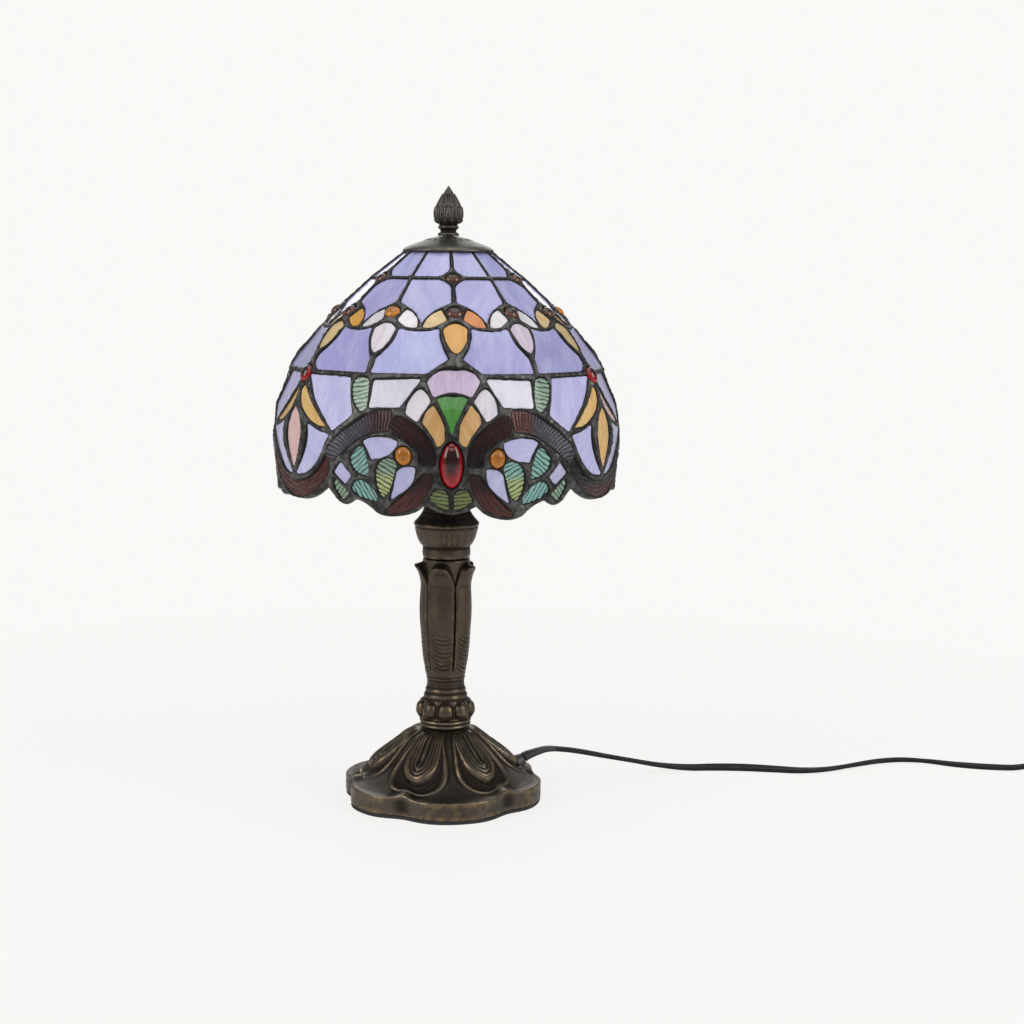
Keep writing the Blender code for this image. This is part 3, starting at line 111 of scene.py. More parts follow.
# The other panes: glass, colours of the copies in turn, grain, and outline.
PANES = {
    "belt_front": ("ground", "lavender", 84, (((6.8, 42.8), (11, 43.7), (15, 43.9), (19, 43.7),
        (23.2, 42.8)), ((24.3, 48), (26.2, 52.5), (28.7, 57.3)), ((28.9, 65.1),), ((9.6, 65.1),),
        ((5.9, 61), (2.5, 57.6)), ((4.9, 52), (6.3, 47), (6.8, 42.8)))),
    "belt_side": ("ground", "lavender", 72, (((36.8, 42.8), (41, 43.7), (45, 43.9), (49, 43.7),
        (53.2, 42.8)), ((54.3, 48), (56.2, 52.5), (58.5, 57)), ((58.5, 60.5), (57.4, 62.8),
        (55.3, 65.1)), ((31.2, 65.1),), ((31.3, 57.3),), ((33.8, 52.5), (35.7, 48), (36.8, 42.8)))),
    "arch": ("petal", "mauve", 86, (((0, 62.4), (3.6, 63.2), (6.3, 65.4), (8.7, 69.4)), ((6, 77),),
        ((3, 75.2), (0, 74.6)))),
    "fan": ("petal", "green", 90, (((0, 76.2), (2.6, 76.8), (4.8, 78)), ((2.7, 85.5), (1.2, 90.5),
        (0, 96)))),
    "shell": ("petal", "pearl", 70, (((6.9, 79.2), (9.2, 74.6), (10.7, 73.3), (12.4, 75),
        (14.3, 79.5), (14.9, 85.8)), ((10.9, 89.8),), ((9.3, 85), (6.9, 79.2)))),
    "wing": ("petal", "toffee", 112, (((6, 81.5), (8.2, 85.2), (9.3, 90.2)), ((6.4, 96.5),
        (4.2, 102.6)), ((2.3, 99.8),), ((2.2, 92.5),), ((3.7, 87), (6, 81.5)))),
    "chin": ("leaf", "moss", 8, (((0.9, 128), (2.4, 126.2), (4.8, 125.6)), ((6.6, 131),),
        ((4.6, 133.8), (2.6, 135.6), (0.9, 136.4)), ((0.9, 128),))),
    "frieze": ("ground", "lilac", 80, (((11.2, 68.2), (27.3, 69)), ((27, 82.9),), ((17, 82.6),),
        ((11.2, 68.2),))),
    "bud_leaf": ("leaf", "sage", -14, (((29, 68.6), (31, 67.6), (33.4, 68.1), (34.7, 70.4),
        (34.6, 74.5), (33.5, 79), (31.5, 83.2), (29.3, 85.4)), ((28.1, 83), (28.2, 76),
        (29, 68.6)))),
    "kite": ("ground", "hazy", 84, (((37.4, 68.3), (57.2, 68.3)), ((51.2, 81), (40.2, 95.9)),
        ((36.6, 91.6), (32.9, 87)), ((34.9, 79), (37.4, 68.3)))),
    "side_lily": ("petal", "straw straw straw blush straw straw", 50, (((58.3, 73.9), (52.9, 82.2),
        (48, 88.6), (43.5, 94.3)), ((48.6, 93.2), (53.8, 89), (57.5, 83.6), (59, 77.2),
        (58.3, 73.9)))),
    "middle_lily": ("petal", "straw straw blush", 90, (((0, 85.4), (-3, 91), (-4.6, 98.5),
        (-4, 105.5), (-2.2, 111.8), (0, 117.6)),)),
    "lily_ground": ("ground", "hazy", 60, (((41.7, 98.7), (46, 97.2), (51.8, 94)), ((51.9, 101),
        (54.2, 111), (58.2, 121.3)), ((58.4, 121.3),), ((53.8, 120.6), (49, 116), (44.9, 108.4),
        (41.7, 98.7)))),
    "swag": ("bark", "bark rust rust", (58, 84), (((60, 125.6), (55.2, 124.7), (50.6, 122.1),
        (46.2, 116.6), (42.6, 109.4)), ((41.1, 112.2),), ((42.2, 118), (45.4, 124.6), (50.4, 130.2),
        (55.6, 133.6), (60, 134.4)))),
    "ribbed_band": ("ribbed", "rust wine", (22, 118), (((19.4, 84.9), (22, 84.7), (25.2, 85.8),
        (29, 88.2), (33, 92.6), (36.6, 97.2), (39.7, 102.4), (42.2, 108.6)), ((40.2, 112.2),),
        ((37.4, 108.6), (34.4, 105.2), (31, 101.5), (27.6, 98), (24, 95.8), (19.6, 94.6)),
        ((19.4, 84.9),))),
    "upper_limb": ("bark", "wine", (24, 112), (((17.9, 87.6), (15.2, 88.3), (12, 91.2), (8.7, 95.4),
        (6.4, 100.5), (5.1, 106.5), (5, 112.4)), ((9.2, 113),), ((10, 107.6), (12.4, 102.6),
        (15.2, 99.2), (18.4, 97.4)), ((18.6, 91.6), (17.9, 87.6)))),
    "lower_limb": ("bark", "wine", (26, 112), (((5.3, 117.6), (8.4, 117.8)), ((10.3, 122.6),
        (13.6, 128.6), (16.8, 134.2), (20, 139.6)), ((17.3, 140.7), (13.9, 139.2), (10.9, 136.2),
        (8.4, 131.2), (6.4, 124.8), (5.3, 117.6)))),
    "brow": ("ground", "hazy", 20, (((16.3, 100.9), (19.4, 99.2), (23, 98.7), (26, 99.6),
        (27.9, 101.2)), ((26.1, 105.8), (24.6, 111.2)), ((20.8, 110.2), (17.8, 107.6),
        (16.3, 103.8), (16.3, 100.9)))),
    "moon": ("ground", "hazy", 60, (((10.8, 114.5), (13.8, 114.9), (15.9, 117.2), (16.7, 121.6),
        (17.4, 127), (18.4, 133.2)), ((15.4, 129.6), (12.6, 125.4), (11.1, 120.4), (10.8, 114.5)))),
    "leaf_a": ("leaf", "teal sage", 30, (((20.7, 131.8), (18.9, 128.6), (17.7, 122.8),
        (16.8, 117.2), (16.3, 113.6), (17.5, 111.4), (19.5, 110.9), (21.7, 113), (22.8, 117.2),
        (23, 123), (22.1, 128.6), (20.7, 131.8)),)),
    "leaf_b": ("leaf", "teal", -38, (((26, 120), (26, 115), (26.8, 109.2), (27.9, 104.3),
        (30.4, 105.5), (32.2, 109.4), (31.9, 114.2), (30.4, 117.4), (28.2, 119.3), (26, 120)),)),
    "leaf_c": ("leaf", "teal", 64, (((23, 133.8), (23.7, 129.4), (26.3, 124.8), (29, 122.4),
        (31.3, 123.5), (32.2, 126.8), (30.4, 130.2), (27, 132.4), (23, 133.8)),)),
    "leaf_d": ("leaf", "sage", -50, (((39.1, 121.9), (39.4, 124.8), (38.2, 129.4), (36.4, 132.8),
        (34.9, 131.8), (33.9, 129.4), (36, 126.3), (39.1, 121.9)),)),
    "diamond": ("ground", "hazy", 50, (((36.6, 112.5), (39.5, 118.3)), ((35.3, 124.5),),
        ((32.7, 120),), ((36.6, 112.5),))), }
# Panes with a mirror line at an azimuth, and an azimuth by which they are moved.
OWN_MIRROR = {"arch": (0.0, 0.0), "fan": (0.0, 0.0), "middle_lily": (0.0, 60.0),
              "swag": (60.0, 0.0)}
# Panes that go over to another colour, by azimuth (0) or drop (1), between two values.
FADES = {"swag": ("rust", 1, 124.0, 132.0), "ribbed_band": ("plum", 0, 24.0, 29.0),
         "upper_limb": ("bark", 1, 96.0, 110.0), "lower_limb": ("rust", 1, 124.0, 132.0),
         "leaf_a": ("lime", 1, 116.0, 123.0)}

# Jewels: azimuth, drop, half width, half height and rise of the dome above the glass.
CROWN_JEWEL = (0.0, 15.4, 3.5, 3.1, 2.2)
FLOWER_JEWEL = (0.0, 33.9, 4.1, 3.9, 2.6)
SIDE_JEWEL = (60.0, 67.6, 4.1, 4.9, 3.0)
RUBY_CABOCHON = (0.0, 112.3, 5.6, 12.0, 4.6)
AMBER_JEWEL = (14.1, 108.7, 4.0, 4.9, 3.0)

# ---- cord
CORD_WIDTH = 5.6
CORD_THICKNESS = 2.8
BUSHING_EXIT = ((47.7, 17.4, 18.3), (50.2, 18.3, 19.8))
ROUTE_TO_SWITCH = ((61.1, 22.2, 22.4), (70.5, 25.6, 21.6), (83.3, 30.3, 18.8), (100.6, 36.6, 14),
    (117, 42.6, 9.6), (132, 48, 5.6), (148, 52.4, 2.7), (165, 54.2, 1.7), (188, 53.4, 1.6),
    (210, 50, 1.6), (225, 48, 1.6), (242, 50.8, 1.6), (260.7, 59.4, 1.6), (279, 68.2, 1.6),
    (296, 72, 1.6), (312, 69.2, 1.6), (327, 62.4, 1.6), (343, 57.2, 1.6), (360, 54.4, 1.7),
    (373, 53, 3.6), (383, 52.6, 6.2), (389.7, 52.5, 7))
ROUTE_TO_COIL = ((440.3, 52.5, 7), (450, 52.6, 6.1), (462, 53.4, 3.8), (475, 54.2, 3.1),
    (488.3, 54.4, 3.1))
ROUTE_TO_PLUG = ((488.4, -17.2, 9), (483.5, -17.2, 9), (478.5, -17.2, 9))
COIL_CENTRE = (505.0, 18.6)
COIL_RADII = (35.8, 26.2)  # outermost and innermost turn
COIL_LEVELS = (3.1, 9.1)  # middle of the cord in each of the two layers
COIL_TURNS = 3.25  # in each layer


# ==== settings
def number_setting(name, description, default, **limits):
    """A number that shows in the panel."""
    return bpy.props.FloatProperty(name=name, description=description, default=default, **limits)


def colour_settings(colours):
    """Colours that show in the panel, as linear red, green and blue."""
    return {key: bpy.props.FloatVectorProperty(
        name=key.replace("_", " ").capitalize(), description=description, default=colour,
        subtype='COLOR', size=3, min=0.0, max=1.0) for key, description, *colour in colours}


class LampShapeSettings(bpy.types.PropertyGroup):
    """Sizes that a maker may change."""
    solder_height: number_setting("Solder height", "How proud the solder stands of the glass",
                                  1.05 * MM, min=0.3 * MM, precision=5, unit='LENGTH')
    solder_spacing: number_setting("Solder mesh", "Spacing of the solder's mesh",
                                   0.66 * MM, min=0.5 * MM, precision=5, unit='LENGTH')
    pane_flatness: number_setting("Pane flatness", "How far each pane is a flat piece of glass",
                                  0.75, min=0.0, max=1.0, subtype='FACTOR')
    cord_step: number_setting("Cord mesh", "Spacing of the cord's sections",
                              4.0 * MM, min=1.0 * MM, precision=5, unit='LENGTH')


class LampGlassSettings(bpy.types.PropertyGroup):
    """Colours of the glass."""
    __annotations__ = colour_settings((
        ("lavender", "Plain ground panes", 0.285, 0.288, 0.545),
        ("hazy", "Paler ground panes low down", 0.42, 0.42, 0.66),
        ("lilac", "Pale panes of the frieze", 0.60, 0.59, 0.70),
        ("mauve", "Arch over the fan", 0.44, 0.345, 0.475),
        ("amber", "Amber petals", 0.55, 0.265, 0.035),
        ("straw", "Petals of the side lilies", 0.62, 0.38, 0.12),
        ("cream", "Cream petals", 0.52, 0.36, 0.15),
        ("orange", "Orange petals", 0.46, 0.125, 0.003),
        ("toffee", "Wings beside the fan", 0.54, 0.31, 0.11),
        ("pink", "Pink petals", 0.60, 0.51, 0.56),
        ("blush", "Blush petals of the side lilies", 0.68, 0.46, 0.42),
        ("pearl", "Near white panes", 0.60, 0.575, 0.61),
        ("green", "Fan", 0.018, 0.155, 0.005),
        ("moss", "Textured panes under the cabochon", 0.11, 0.15, 0.028),
        ("sage", "Grey green leaf", 0.18, 0.30, 0.19),
        ("teal", "Teal leaves", 0.17, 0.41, 0.35),
        ("lime", "Yellow green leaf", 0.34, 0.43, 0.14),
        ("ruby", "Cabochon", 0.33, 0.003, 0.007),
        ("honey", "Round jewel in the scroll", 0.52, 0.18, 0.012),
        ("cocoa", "Brown jewels", 0.12, 0.035, 0.014),
        ("plum", "Ribbed band", 0.042, 0.038, 0.055),
        ("rust", "Reddish part of the dark glass", 0.070, 0.014, 0.010),
        ("wine", "Red part of the limbs", 0.026, 0.0025, 0.003),
        ("bark", "Dark part of the limbs and swags", 0.008, 0.004, 0.005),
        ("bulb", "Frosted bulb", 0.86, 0.86, 0.84)))


class LampMetalSettings(bpy.types.PropertyGroup):
    """Colours of the metalwork, the cord and the other small parts."""
    __annotations__ = colour_settings((
        ("bronze", "Aged bronze in the hollows", 0.024, 0.018, 0.014),
        ("bronze_face", "Aged bronze on open faces", 0.095, 0.073, 0.055),
        # Painted light: the foot's bronze is lighter than the column's, standing in for light that the
        # glass shade lets down onto it.
        ("bronze_base_painted_light", "Greyer bronze of the foot", 0.115, 0.095, 0.077),
        ("pewter", "Greyer metal of the cap and finial", 0.095, 0.089, 0.080),
        ("rubbed", "Bronze rubbed bright", 0.34, 0.235, 0.12),
        ("solder", "Dark patina of the solder", 0.024, 0.0235, 0.022),
        ("tin", "Bright specks of the solder", 0.42, 0.42, 0.40),
        ("brass", "Socket, bulb cap and plug blades", 0.55, 0.38, 0.15),
        ("steel", "Harp and its saddle", 0.46, 0.45, 0.43),
        ("ceramic", "Socket core", 0.72, 0.70, 0.64),
        ("rubber", "Pad and bushing", 0.014, 0.014, 0.014),
        ("vinyl", "Cord, switch and plug", 0.007, 0.007, 0.0075)))


class LampStageSettings(bpy.types.PropertyGroup):
    """Camera and light."""
    distance: number_setting("Distance", "Camera to the lamp's axis", 1.03, unit='LENGTH')
    height: number_setting("Height", "Camera above the table", 0.3109, unit='LENGTH')
    lens: number_setting("Lens", "Focal length", 62.1, min=10.0, unit='CAMERA')
    yaw: number_setting("Yaw", "Camera turned right", 2.136 * DEG, subtype='ANGLE')
    pitch: number_setting("Pitch", "Camera tipped down", 7.677 * DEG, subtype='ANGLE')
    roll: number_setting("Roll", "Camera rolled", 0.634 * DEG, subtype='ANGLE')
    side_light: number_setting("Side light", "Power of each tall softbox", 8.2, min=0.0, unit='POWER')
    top_light: number_setting("Top light", "Power of the overhead softbox", 8.0, min=0.0, unit='POWER')


def shape_settings():
    return bpy.context.scene.lamp_shape


def glass_colour(name, share=1.0):
    return tuple(share * channel for channel in getattr(bpy.context.scene.lamp_glass, name))


def metal_colour(name, share=1.0):
    return tuple(share * channel for channel in getattr(bpy.context.scene.lamp_metal, name))


# ==== meshes
class Sheet:
    """A grid of points by row, column and x, y, z, with what each point carries.

    keep marks the faces that are made. They face the viewer when rows run down and
    columns to the right, and flip turns them over.
    """

    def __init__(self, points, keep=None, flip=False, **layers):
        self.points, self.keep, self.flip, self.layers = points, keep, flip, layers

    def faces(self, first):
        """Quads between neighbouring rows and columns, counting points from first."""
        rows, columns = self.points.shape[:2]
        index = np.arange(rows * columns).reshape(rows, columns) + first
        corners = [index[:-1, :-1], index[1:, :-1], index[1:, 1:], index[:-1, 1:]]
        if self.flip:
            corners.reverse()
        quads = np.stack(corners, axis=-1)
        return quads[self.keep] if self.keep is not None else quads.reshape(-1, 4)


@contextmanager
def mesh_work(mesh):
    """A mesh opened for bmesh's operators, and written back after them."""
    work = bmesh.new()
    work.from_mesh(mesh)
    yield work
    work.to_mesh(mesh)
    work.free()


def mesh_from_sheets(name, sheets, weld=0.002):
    """One mesh of several sheets, welded, with a float or vector attribute of each layer."""
    points = np.concatenate([s.points.reshape(-1, 3) for s in sheets]) * MM
    firsts = np.cumsum([0] + [s.points.shape[0] * s.points.shape[1] for s in sheets])
    quads = np.concatenate([s.faces(first) for s, first in zip(sheets, firsts)])
    mesh = bpy.data.meshes.new(name)
    mesh.vertices.add(len(points))
    mesh.vertices.foreach_set("co", points.astype(np.float32).ravel())
    mesh.loops.add(quads.size)
    mesh.loops.foreach_set("vertex_index", quads.astype(np.int32).ravel())
    mesh.polygons.add(len(quads))
    mesh.polygons.foreach_set("loop_start", np.arange(0, quads.size, 4, dtype=np.int32))
    mesh.update(calc_edges=True)
    for layer in sheets[0].layers:
        values = np.concatenate([s.layers[layer].ravel() for s in sheets]).astype(np.float32)
        kind, field = (('FLOAT', "value") if len(values) == len(points) else ('FLOAT_VECTOR', "vector"))
        mesh.attributes.new(layer, kind, 'POINT').data.foreach_set(field, values)
    with mesh_work(mesh) as work:
        loose = [v for v in work.verts if not v.link_faces]
        bmesh.ops.delete(work, geom=loose, context='VERTS')
        bmesh.ops.remove_doubles(work, verts=work.verts, dist=weld * MM)
    mesh.shade_smooth()
    return mesh


def add_piece(name, mesh, material, body, replaces=()):
    """Puts a mesh into the scene as a piece that rides on a body."""
    piece = bpy.data.objects.new(name, mesh)
    bpy.context.scene.collection.objects.link(piece)
    mesh.materials.append(material)
    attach(piece, body)
    if replaces:
        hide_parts(*replaces)
    return piece


def add_closed(name, sheets, material, body, replaces=(), weld=0.002):
    """A piece of sheets that close to one skin, turned to face outwards."""
    mesh = mesh_from_sheets(name, sheets, weld)
    with mesh_work(mesh) as work:
        bmesh.ops.recalc_face_normals(work, faces=work.faces)
    return add_piece(name, mesh, material, body, replaces)


def curve_through(points):
    """Points of a smooth curve through the given ones: a Catmull-Rom cubic in each span."""
    p = np.array(points, float)
    if len(p) == 2:
        return p[0] + (p[1] - p[0]) * np.linspace(0.0, 1.0, CURVE_STEPS + 1)[:, None]
    p = np.vstack([2 * p[0] - p[1], p, 2 * p[-1] - p[-2]])
    t = np.linspace(0.0, 1.0, CURVE_STEPS, endpoint=False)[None, :, None]
    a, b, c, d = (p[i:len(p) - 3 + i, None, :] for i in range(4))
    spans = 0.5 * (2 * b + (c - a) * t + (2 * a - 5 * b + 4 * c - d) * t ** 2
                   + (3 * b - a - 3 * c + d) * t ** 3)
    return np.vstack([spans.reshape(-1, p.shape[1]), p[-2]])


def joined_curve(runs):
    """Smooth runs one after the other, each from the end of the one before it."""
    starts = ((),) + tuple(run[-1:] for run in runs[:-1])
    return np.vstack([curve_through(start + run) for start, run in zip(starts, runs)])


def lengths_along(points):
    """How far along a line each of its points lies."""
    return np.append(0.0, np.cumsum(np.linalg.norm(np.diff(points, axis=0), axis=1)))


def unit(vectors):
    """Vectors brought to length one."""
    return vectors / np.maximum(np.linalg.norm(vectors, axis=-1, keepdims=True), 1e-9)


def with_ends(path, rings):
    """Rings along a path with the path's ends about them, so that a tube closes."""
    ends = [np.repeat(path[k][None, None], rings.shape[1], axis=1) for k in (0, -1)]
    return np.concatenate([ends[0], rings, ends[1]])


def even_spacing(points, step):
    """The same curve with points at an even distance of about step."""
    along = lengths_along(points)
    count = max(int(round(along[-1] / step)), 2)
    wanted = np.linspace(0.0, along[-1], count + 1)
    return np.stack([np.interp(wanted, along, points[:, k]) for k in range(points.shape[1])], 1)


def lumps(azimuth, level, seed, waves=14, finest=60, reach=0.5):
    """Low irregular waves over a round surface: sines that close in azimuth."""
    rng = np.random.default_rng(seed)
    total = np.zeros(np.broadcast(azimuth, level).shape)
    for _ in range(waves):
        around = rng.integers(3, finest)
        up = rng.uniform(-reach, reach)
        total += np.sin(around * azimuth * DEG + up * level + rng.uniform(0.0, math.tau))
    return total / math.sqrt(waves)


# ==== shade's surface
def shade_radius(drop):
    """Radius over the ribs: two straight roofs and a skirt that swells by a power."""
    roof = np.interp(drop, (0.0, RING_1_DROP, RING_2_DROP),
                     (CROWN_RADIUS, RING_1_RADIUS, RING_2_RADIUS))
    share = np.clip((BELLY_DROP - drop) / (BELLY_DROP - RING_2_DROP), 0.0, 1.0)
    below = np.clip((drop - BELLY_DROP) / (HEM_DROP - BELLY_DROP), 0.0, None)
    skirt = SHADE_RADIUS - (SHADE_RADIUS - RING_2_RADIUS) * share ** BELLY_POWER
    return np.where(drop < RING_2_DROP, roof, skirt - HEM_INSET * below)


def many_sided(azimuth, drop):
    """Share of the corner radius on flat sides, which fade out at the belly."""
    half = 180.0 / SHADE_SIDES
    offset = (azimuth % (2 * half)) - half
    flat = math.cos(half * DEG) / np.cos(offset * DEG)
    weight = np.clip((BELLY_DROP - drop) / (BELLY_DROP - RING_3_DROP), 0.0, 1.0)
    return 1.0 + weight * (flat - 1.0)


def shade_point(azimuth, drop, out=0.0):
    """Point of the shade, moved out from the glass's middle along a short chord's normal."""
    step = 1.2
    slope = (shade_radius(drop + step) - shade_radius(drop - step)) / (2 * step)
    slope = np.where(drop < step, (RING_1_RADIUS - CROWN_RADIUS) / RING_1_DROP, slope)
    length = np.sqrt(1.0 + slope ** 2)
    radius = shade_radius(drop) * many_sided(azimuth, drop) + out / length - SKIN_DEPTH * length
    height = Z_CROWN - drop + out * slope / length
    return np.stack([radius * np.sin(azimuth * DEG), -radius * np.cos(azimuth * DEG),
                     height + 0.0 * azimuth], axis=-1)


def turned_about(points, degrees, mirrored=False):
    """Points mirrored across the motif's middle if asked, then turned about the axis."""
    x = -points[..., 0] if mirrored else points[..., 0]
    y = points[..., 1]
    cos, sin = math.cos(degrees * DEG), math.sin(degrees * DEG)
    return np.stack([x * cos - y * sin, x * sin + y * cos, points[..., 2]], axis=-1)


def hand_made(points):
    """Moves points as a hand made shade's leading wanders at its front.

    The upper motif leans round, and the lower one's left half sits high. Both die away as
    a bell in azimuth.
    """
    x, y, z = points[..., 0], points[..., 1], points[..., 2]
    azimuth, drop = np.degrees(np.arctan2(x, -y)), Z_CROWN - z
    upper = 2.1 * bell(azimuth, 12.0, 30.0) * soft_step(drop, 85.0, 45.0)
    lower = bell(azimuth, -17.0, 11.0) * soft_step(drop, 92.0, 108.0)
    turn = (upper - lower) * DEG
    cos, sin = np.cos(turn), np.sin(turn)
    return np.stack([x * cos - y * sin, x * sin + y * cos, z + 1.7 * lower], axis=-1)


def hem_drop(azimuth):
    """Drop of the scalloped hem at an azimuth of the first sixth."""
    curve = joined_curve(HEM_RUNS)
    return np.interp(azimuth, curve[:, 0], curve[:, 1])


def shade_grid(spacing):
    """Azimuths and drops over one sixth; the last row follows the hem."""
    around = int(round(SHADE_RADIUS * SIXTH * DEG / spacing))
    azimuth = np.linspace(0.0, SIXTH, around + 1)
    meridian = np.linspace(0.0, HEM_DROP, 600)
    line = np.stack([shade_radius(meridian), meridian], axis=1)
    level = even_spacing(line, spacing)[:, 1]
    azimuth, level = np.meshgrid(azimuth, level)
    stretch = (hem_drop(azimuth) - HEM_ROWS_FROM) / (HEM_DROP - HEM_ROWS_FROM)
    low = np.clip(level - HEM_ROWS_FROM, 0.0, None)
    return azimuth, np.minimum(level, HEM_ROWS_FROM) + low * stretch


def closed_outline(runs, about=None, sign=1, offset=0.0):
    """An outline as even points, mirrored about an azimuth if asked, with round corners."""
    line = joined_curve(runs)
    if about is not None:
        other = line[::-1].copy()
        other[:, 0] = 2 * about - other[:, 0]
        line = np.vstack([line, other])
    line[:, 0] = sign * line[:, 0] + offset
    line = np.vstack([line, line[:1]])
    scale = np.array([shade_radius(line[:, 1]).mean() * DEG, 1.0])
    line = even_spacing(line * scale, 0.5)[:-1]
    for _ in range(CORNER_ROUNDS):
        line = 0.25 * np.roll(line, 1, axis=0) + 0.5 * line + 0.25 * np.roll(line, -1, axis=0)
    return line / scale


def jewel_outline(jewel, about=0.0):
    """An ellipse on the shade around a jewel's middle, as (azimuth, drop)."""
    azimuth, drop, half_width, half_height = jewel[:4]
    angle = np.linspace(0.0, math.tau, 48, endpoint=False)
    slope = (shade_radius(drop + 2.0) - shade_radius(drop - 2.0)) / 4.0
    per_degree = shade_radius(drop) * DEG
    return np.stack([about + azimuth + half_width / per_degree * np.cos(angle),
                     drop + half_height / math.hypot(1.0, slope) * np.sin(angle)], axis=1)


# A piece of glass, with the colours of its copies in turn. grain is its streaks' angle from
# the level, or the (azimuth, drop) that they curve around. middle is set where it is its
# own mirror image, and fade is as in FADES.
Pane = namedtuple("Pane", "name glass colours grain outline middle fade", defaults=(None, None))


def shade_panes():
    """All pieces of glass that one sixth of the shade meets, jewels included."""
    panes = []

    def add(name, glass, colours, grain, runs, middle=None, about=None, sign=1, offset=0.0, fade=None):
        outline = closed_outline(runs, about, sign, offset)
        panes.append(Pane(name, glass, colours.split(), grain, outline, middle, fade))

    for sign, offset, lean in ((1, 0.0, 60.0), (-1, 60.0, 100.0)):
        add("crown", "ground", "lavender", 78.0, CROWN_PANE, sign=sign, offset=offset)
        add("shoulder", "ground", "lavender", lean, SHOULDER_PANE, sign=sign, offset=offset)
    for sign, offset, colours in ((1, 0.0, "orange cream"), (-1, 30.0, "pearl"),
                                  (1, 30.0, "pearl"), (-1, 60.0, "cream amber")):
        add("side_petal", "petal", colours, 45.0 * sign, SIDE_PETAL, sign=sign, offset=offset)
    for offset, colour, grain, middle in ((0.0, "amber", 90.0, 0.0), (30.0, "pink", 84.0, None),
                                          (60.0, "cream", 90.0, 60.0)):
        add("lower_petal", "petal", colour, grain, LOWER_PETAL, middle, 0.0, offset=offset)
    for name, (glass, colours, grain, runs) in PANES.items():
        about, offset = OWN_MIRROR.get(name, (None, 0.0))
        add(name, glass, colours, grain, runs, None if about is None else about + offset,
            about, offset=offset, fade=FADES.get(name))
    for jewel, turn in (
            (CROWN_JEWEL, 0.0), (CROWN_JEWEL, 60.0), (FLOWER_JEWEL, 0.0), (FLOWER_JEWEL, 30.0),
            (FLOWER_JEWEL, 60.0), (SIDE_JEWEL, 0.0), (RUBY_CABOCHON, 0.0), (AMBER_JEWEL, 0.0)):
        panes.append(Pane("jewel", "jewel", (), 0.0, jewel_outline(jewel, turn)))
    return panes


def distance_to_outline(points, flat, outline):
    """Distance of points from an outline in space, negative inside it.

    A point is inside if a line towards higher azimuths crosses the outline an odd number
    of times.
    """
    ring = shade_point(outline[:, 0], outline[:, 1])
    span = np.roll(ring, -1, axis=0) - ring
    to_point = points[:, None] - ring
    share = (to_point * span).sum(-1) / (span ** 2).sum(-1)
    away = to_point - np.clip(share, 0.0, 1.0)[..., None] * span
    distance = np.sqrt((away ** 2).sum(-1)).min(axis=1)
    x, y = flat[:, 0, None], flat[:, 1, None]
    x0, y0 = outline.T
    x1, y1 = np.roll(outline, -1, axis=0).T
    crosses = (y0 > y) != (y1 > y)
    run = np.where(y1 == y0, 1.0, y1 - y0)
    at = x0 + (y - y0) / run * (x1 - x0)
    inside = (crosses & (x < at)).sum(axis=1) % 2 == 1
    return np.where(inside, -distance, distance)


def pane_field(panes, azimuth, drop, reach=7.0):
    """Each grid point's distance outside the nearest pane, and that pane's number."""
    gap = np.full(azimuth.shape, reach)
    nearest = np.full(azimuth.shape, -1)
    points = shade_point(azimuth, drop)
    for number, pane in enumerate(panes):
        low, high = pane.outline.min(axis=0), pane.outline.max(axis=0)
        margin = reach / (shade_radius(low[1]) * DEG)
        near = ((azimuth > low[0] - margin) & (azimuth < high[0] + margin)
                & (drop > low[1] - reach) & (drop < high[1] + reach))
        flat = np.stack([azimuth[near], drop[near]], axis=1)
        if not len(flat):
            continue
        distance = distance_to_outline(points[near], flat, pane.outline)
        closer = distance < gap[near]
        where = tuple(index[closer] for index in np.nonzero(near))
        gap[where] = distance[closer]
        nearest[where] = number
    return gap, nearest


# ==== shader nodes
def add_node(tree, kind, inputs=None, **properties):
    """Adds a node, sets its properties, and links or sets the sockets named in inputs."""
    made = tree.nodes.new(kind)
    for name, value in properties.items():
        setattr(made, name, value)
    for name, value in (inputs or {}).items():
        socket = made.inputs[name]
        if isinstance(value, bpy.types.NodeSocket):
            tree.links.new(value, socket)
        elif socket.type == 'RGBA' and len(value) == 3:
            socket.default_value = (*value, 1.0)
        else:
            socket.default_value = value
    return made


def mix_colour(tree, share, first, second, blend='MIX'):
    made = add_node(tree, 'ShaderNodeMix', {0: share, 6: first, 7: second},
                    data_type='RGBA', blend_type=blend)
    return made.outputs[2]


def maths(tree, operation, first, second=0.0, third=0.0):
    made = add_node(tree, 'ShaderNodeMath', {0: first, 1: second, 2: third}, operation=operation)
    return made.outputs[0]


def remapped(tree, value, low, high, to_low=0.0, to_high=1.0):
    """Straight rise from to_low to to_high as a value goes from low to high."""
    made = add_node(tree, 'ShaderNodeMapRange', {
        'Value': value, 'From Min': low, 'From Max': high, 'To Min': to_low, 'To Max': to_high})
    return made.outputs['Result']


def noise(tree, vector, scale, detail=2.0, roughness=0.5, distortion=0.0):
    made = add_node(tree, 'ShaderNodeTexNoise', {
        'Vector': vector, 'Scale': scale, 'Detail': detail, 'Roughness': roughness,
        'Distortion': distortion})
    return made.outputs[0]


def attribute(tree, name, output='Fac'):
    return add_node(tree, 'ShaderNodeAttribute', attribute_name=name).outputs[output]


def object_coordinates(tree):
    return add_node(tree, 'ShaderNodeTexCoord').outputs['Object']


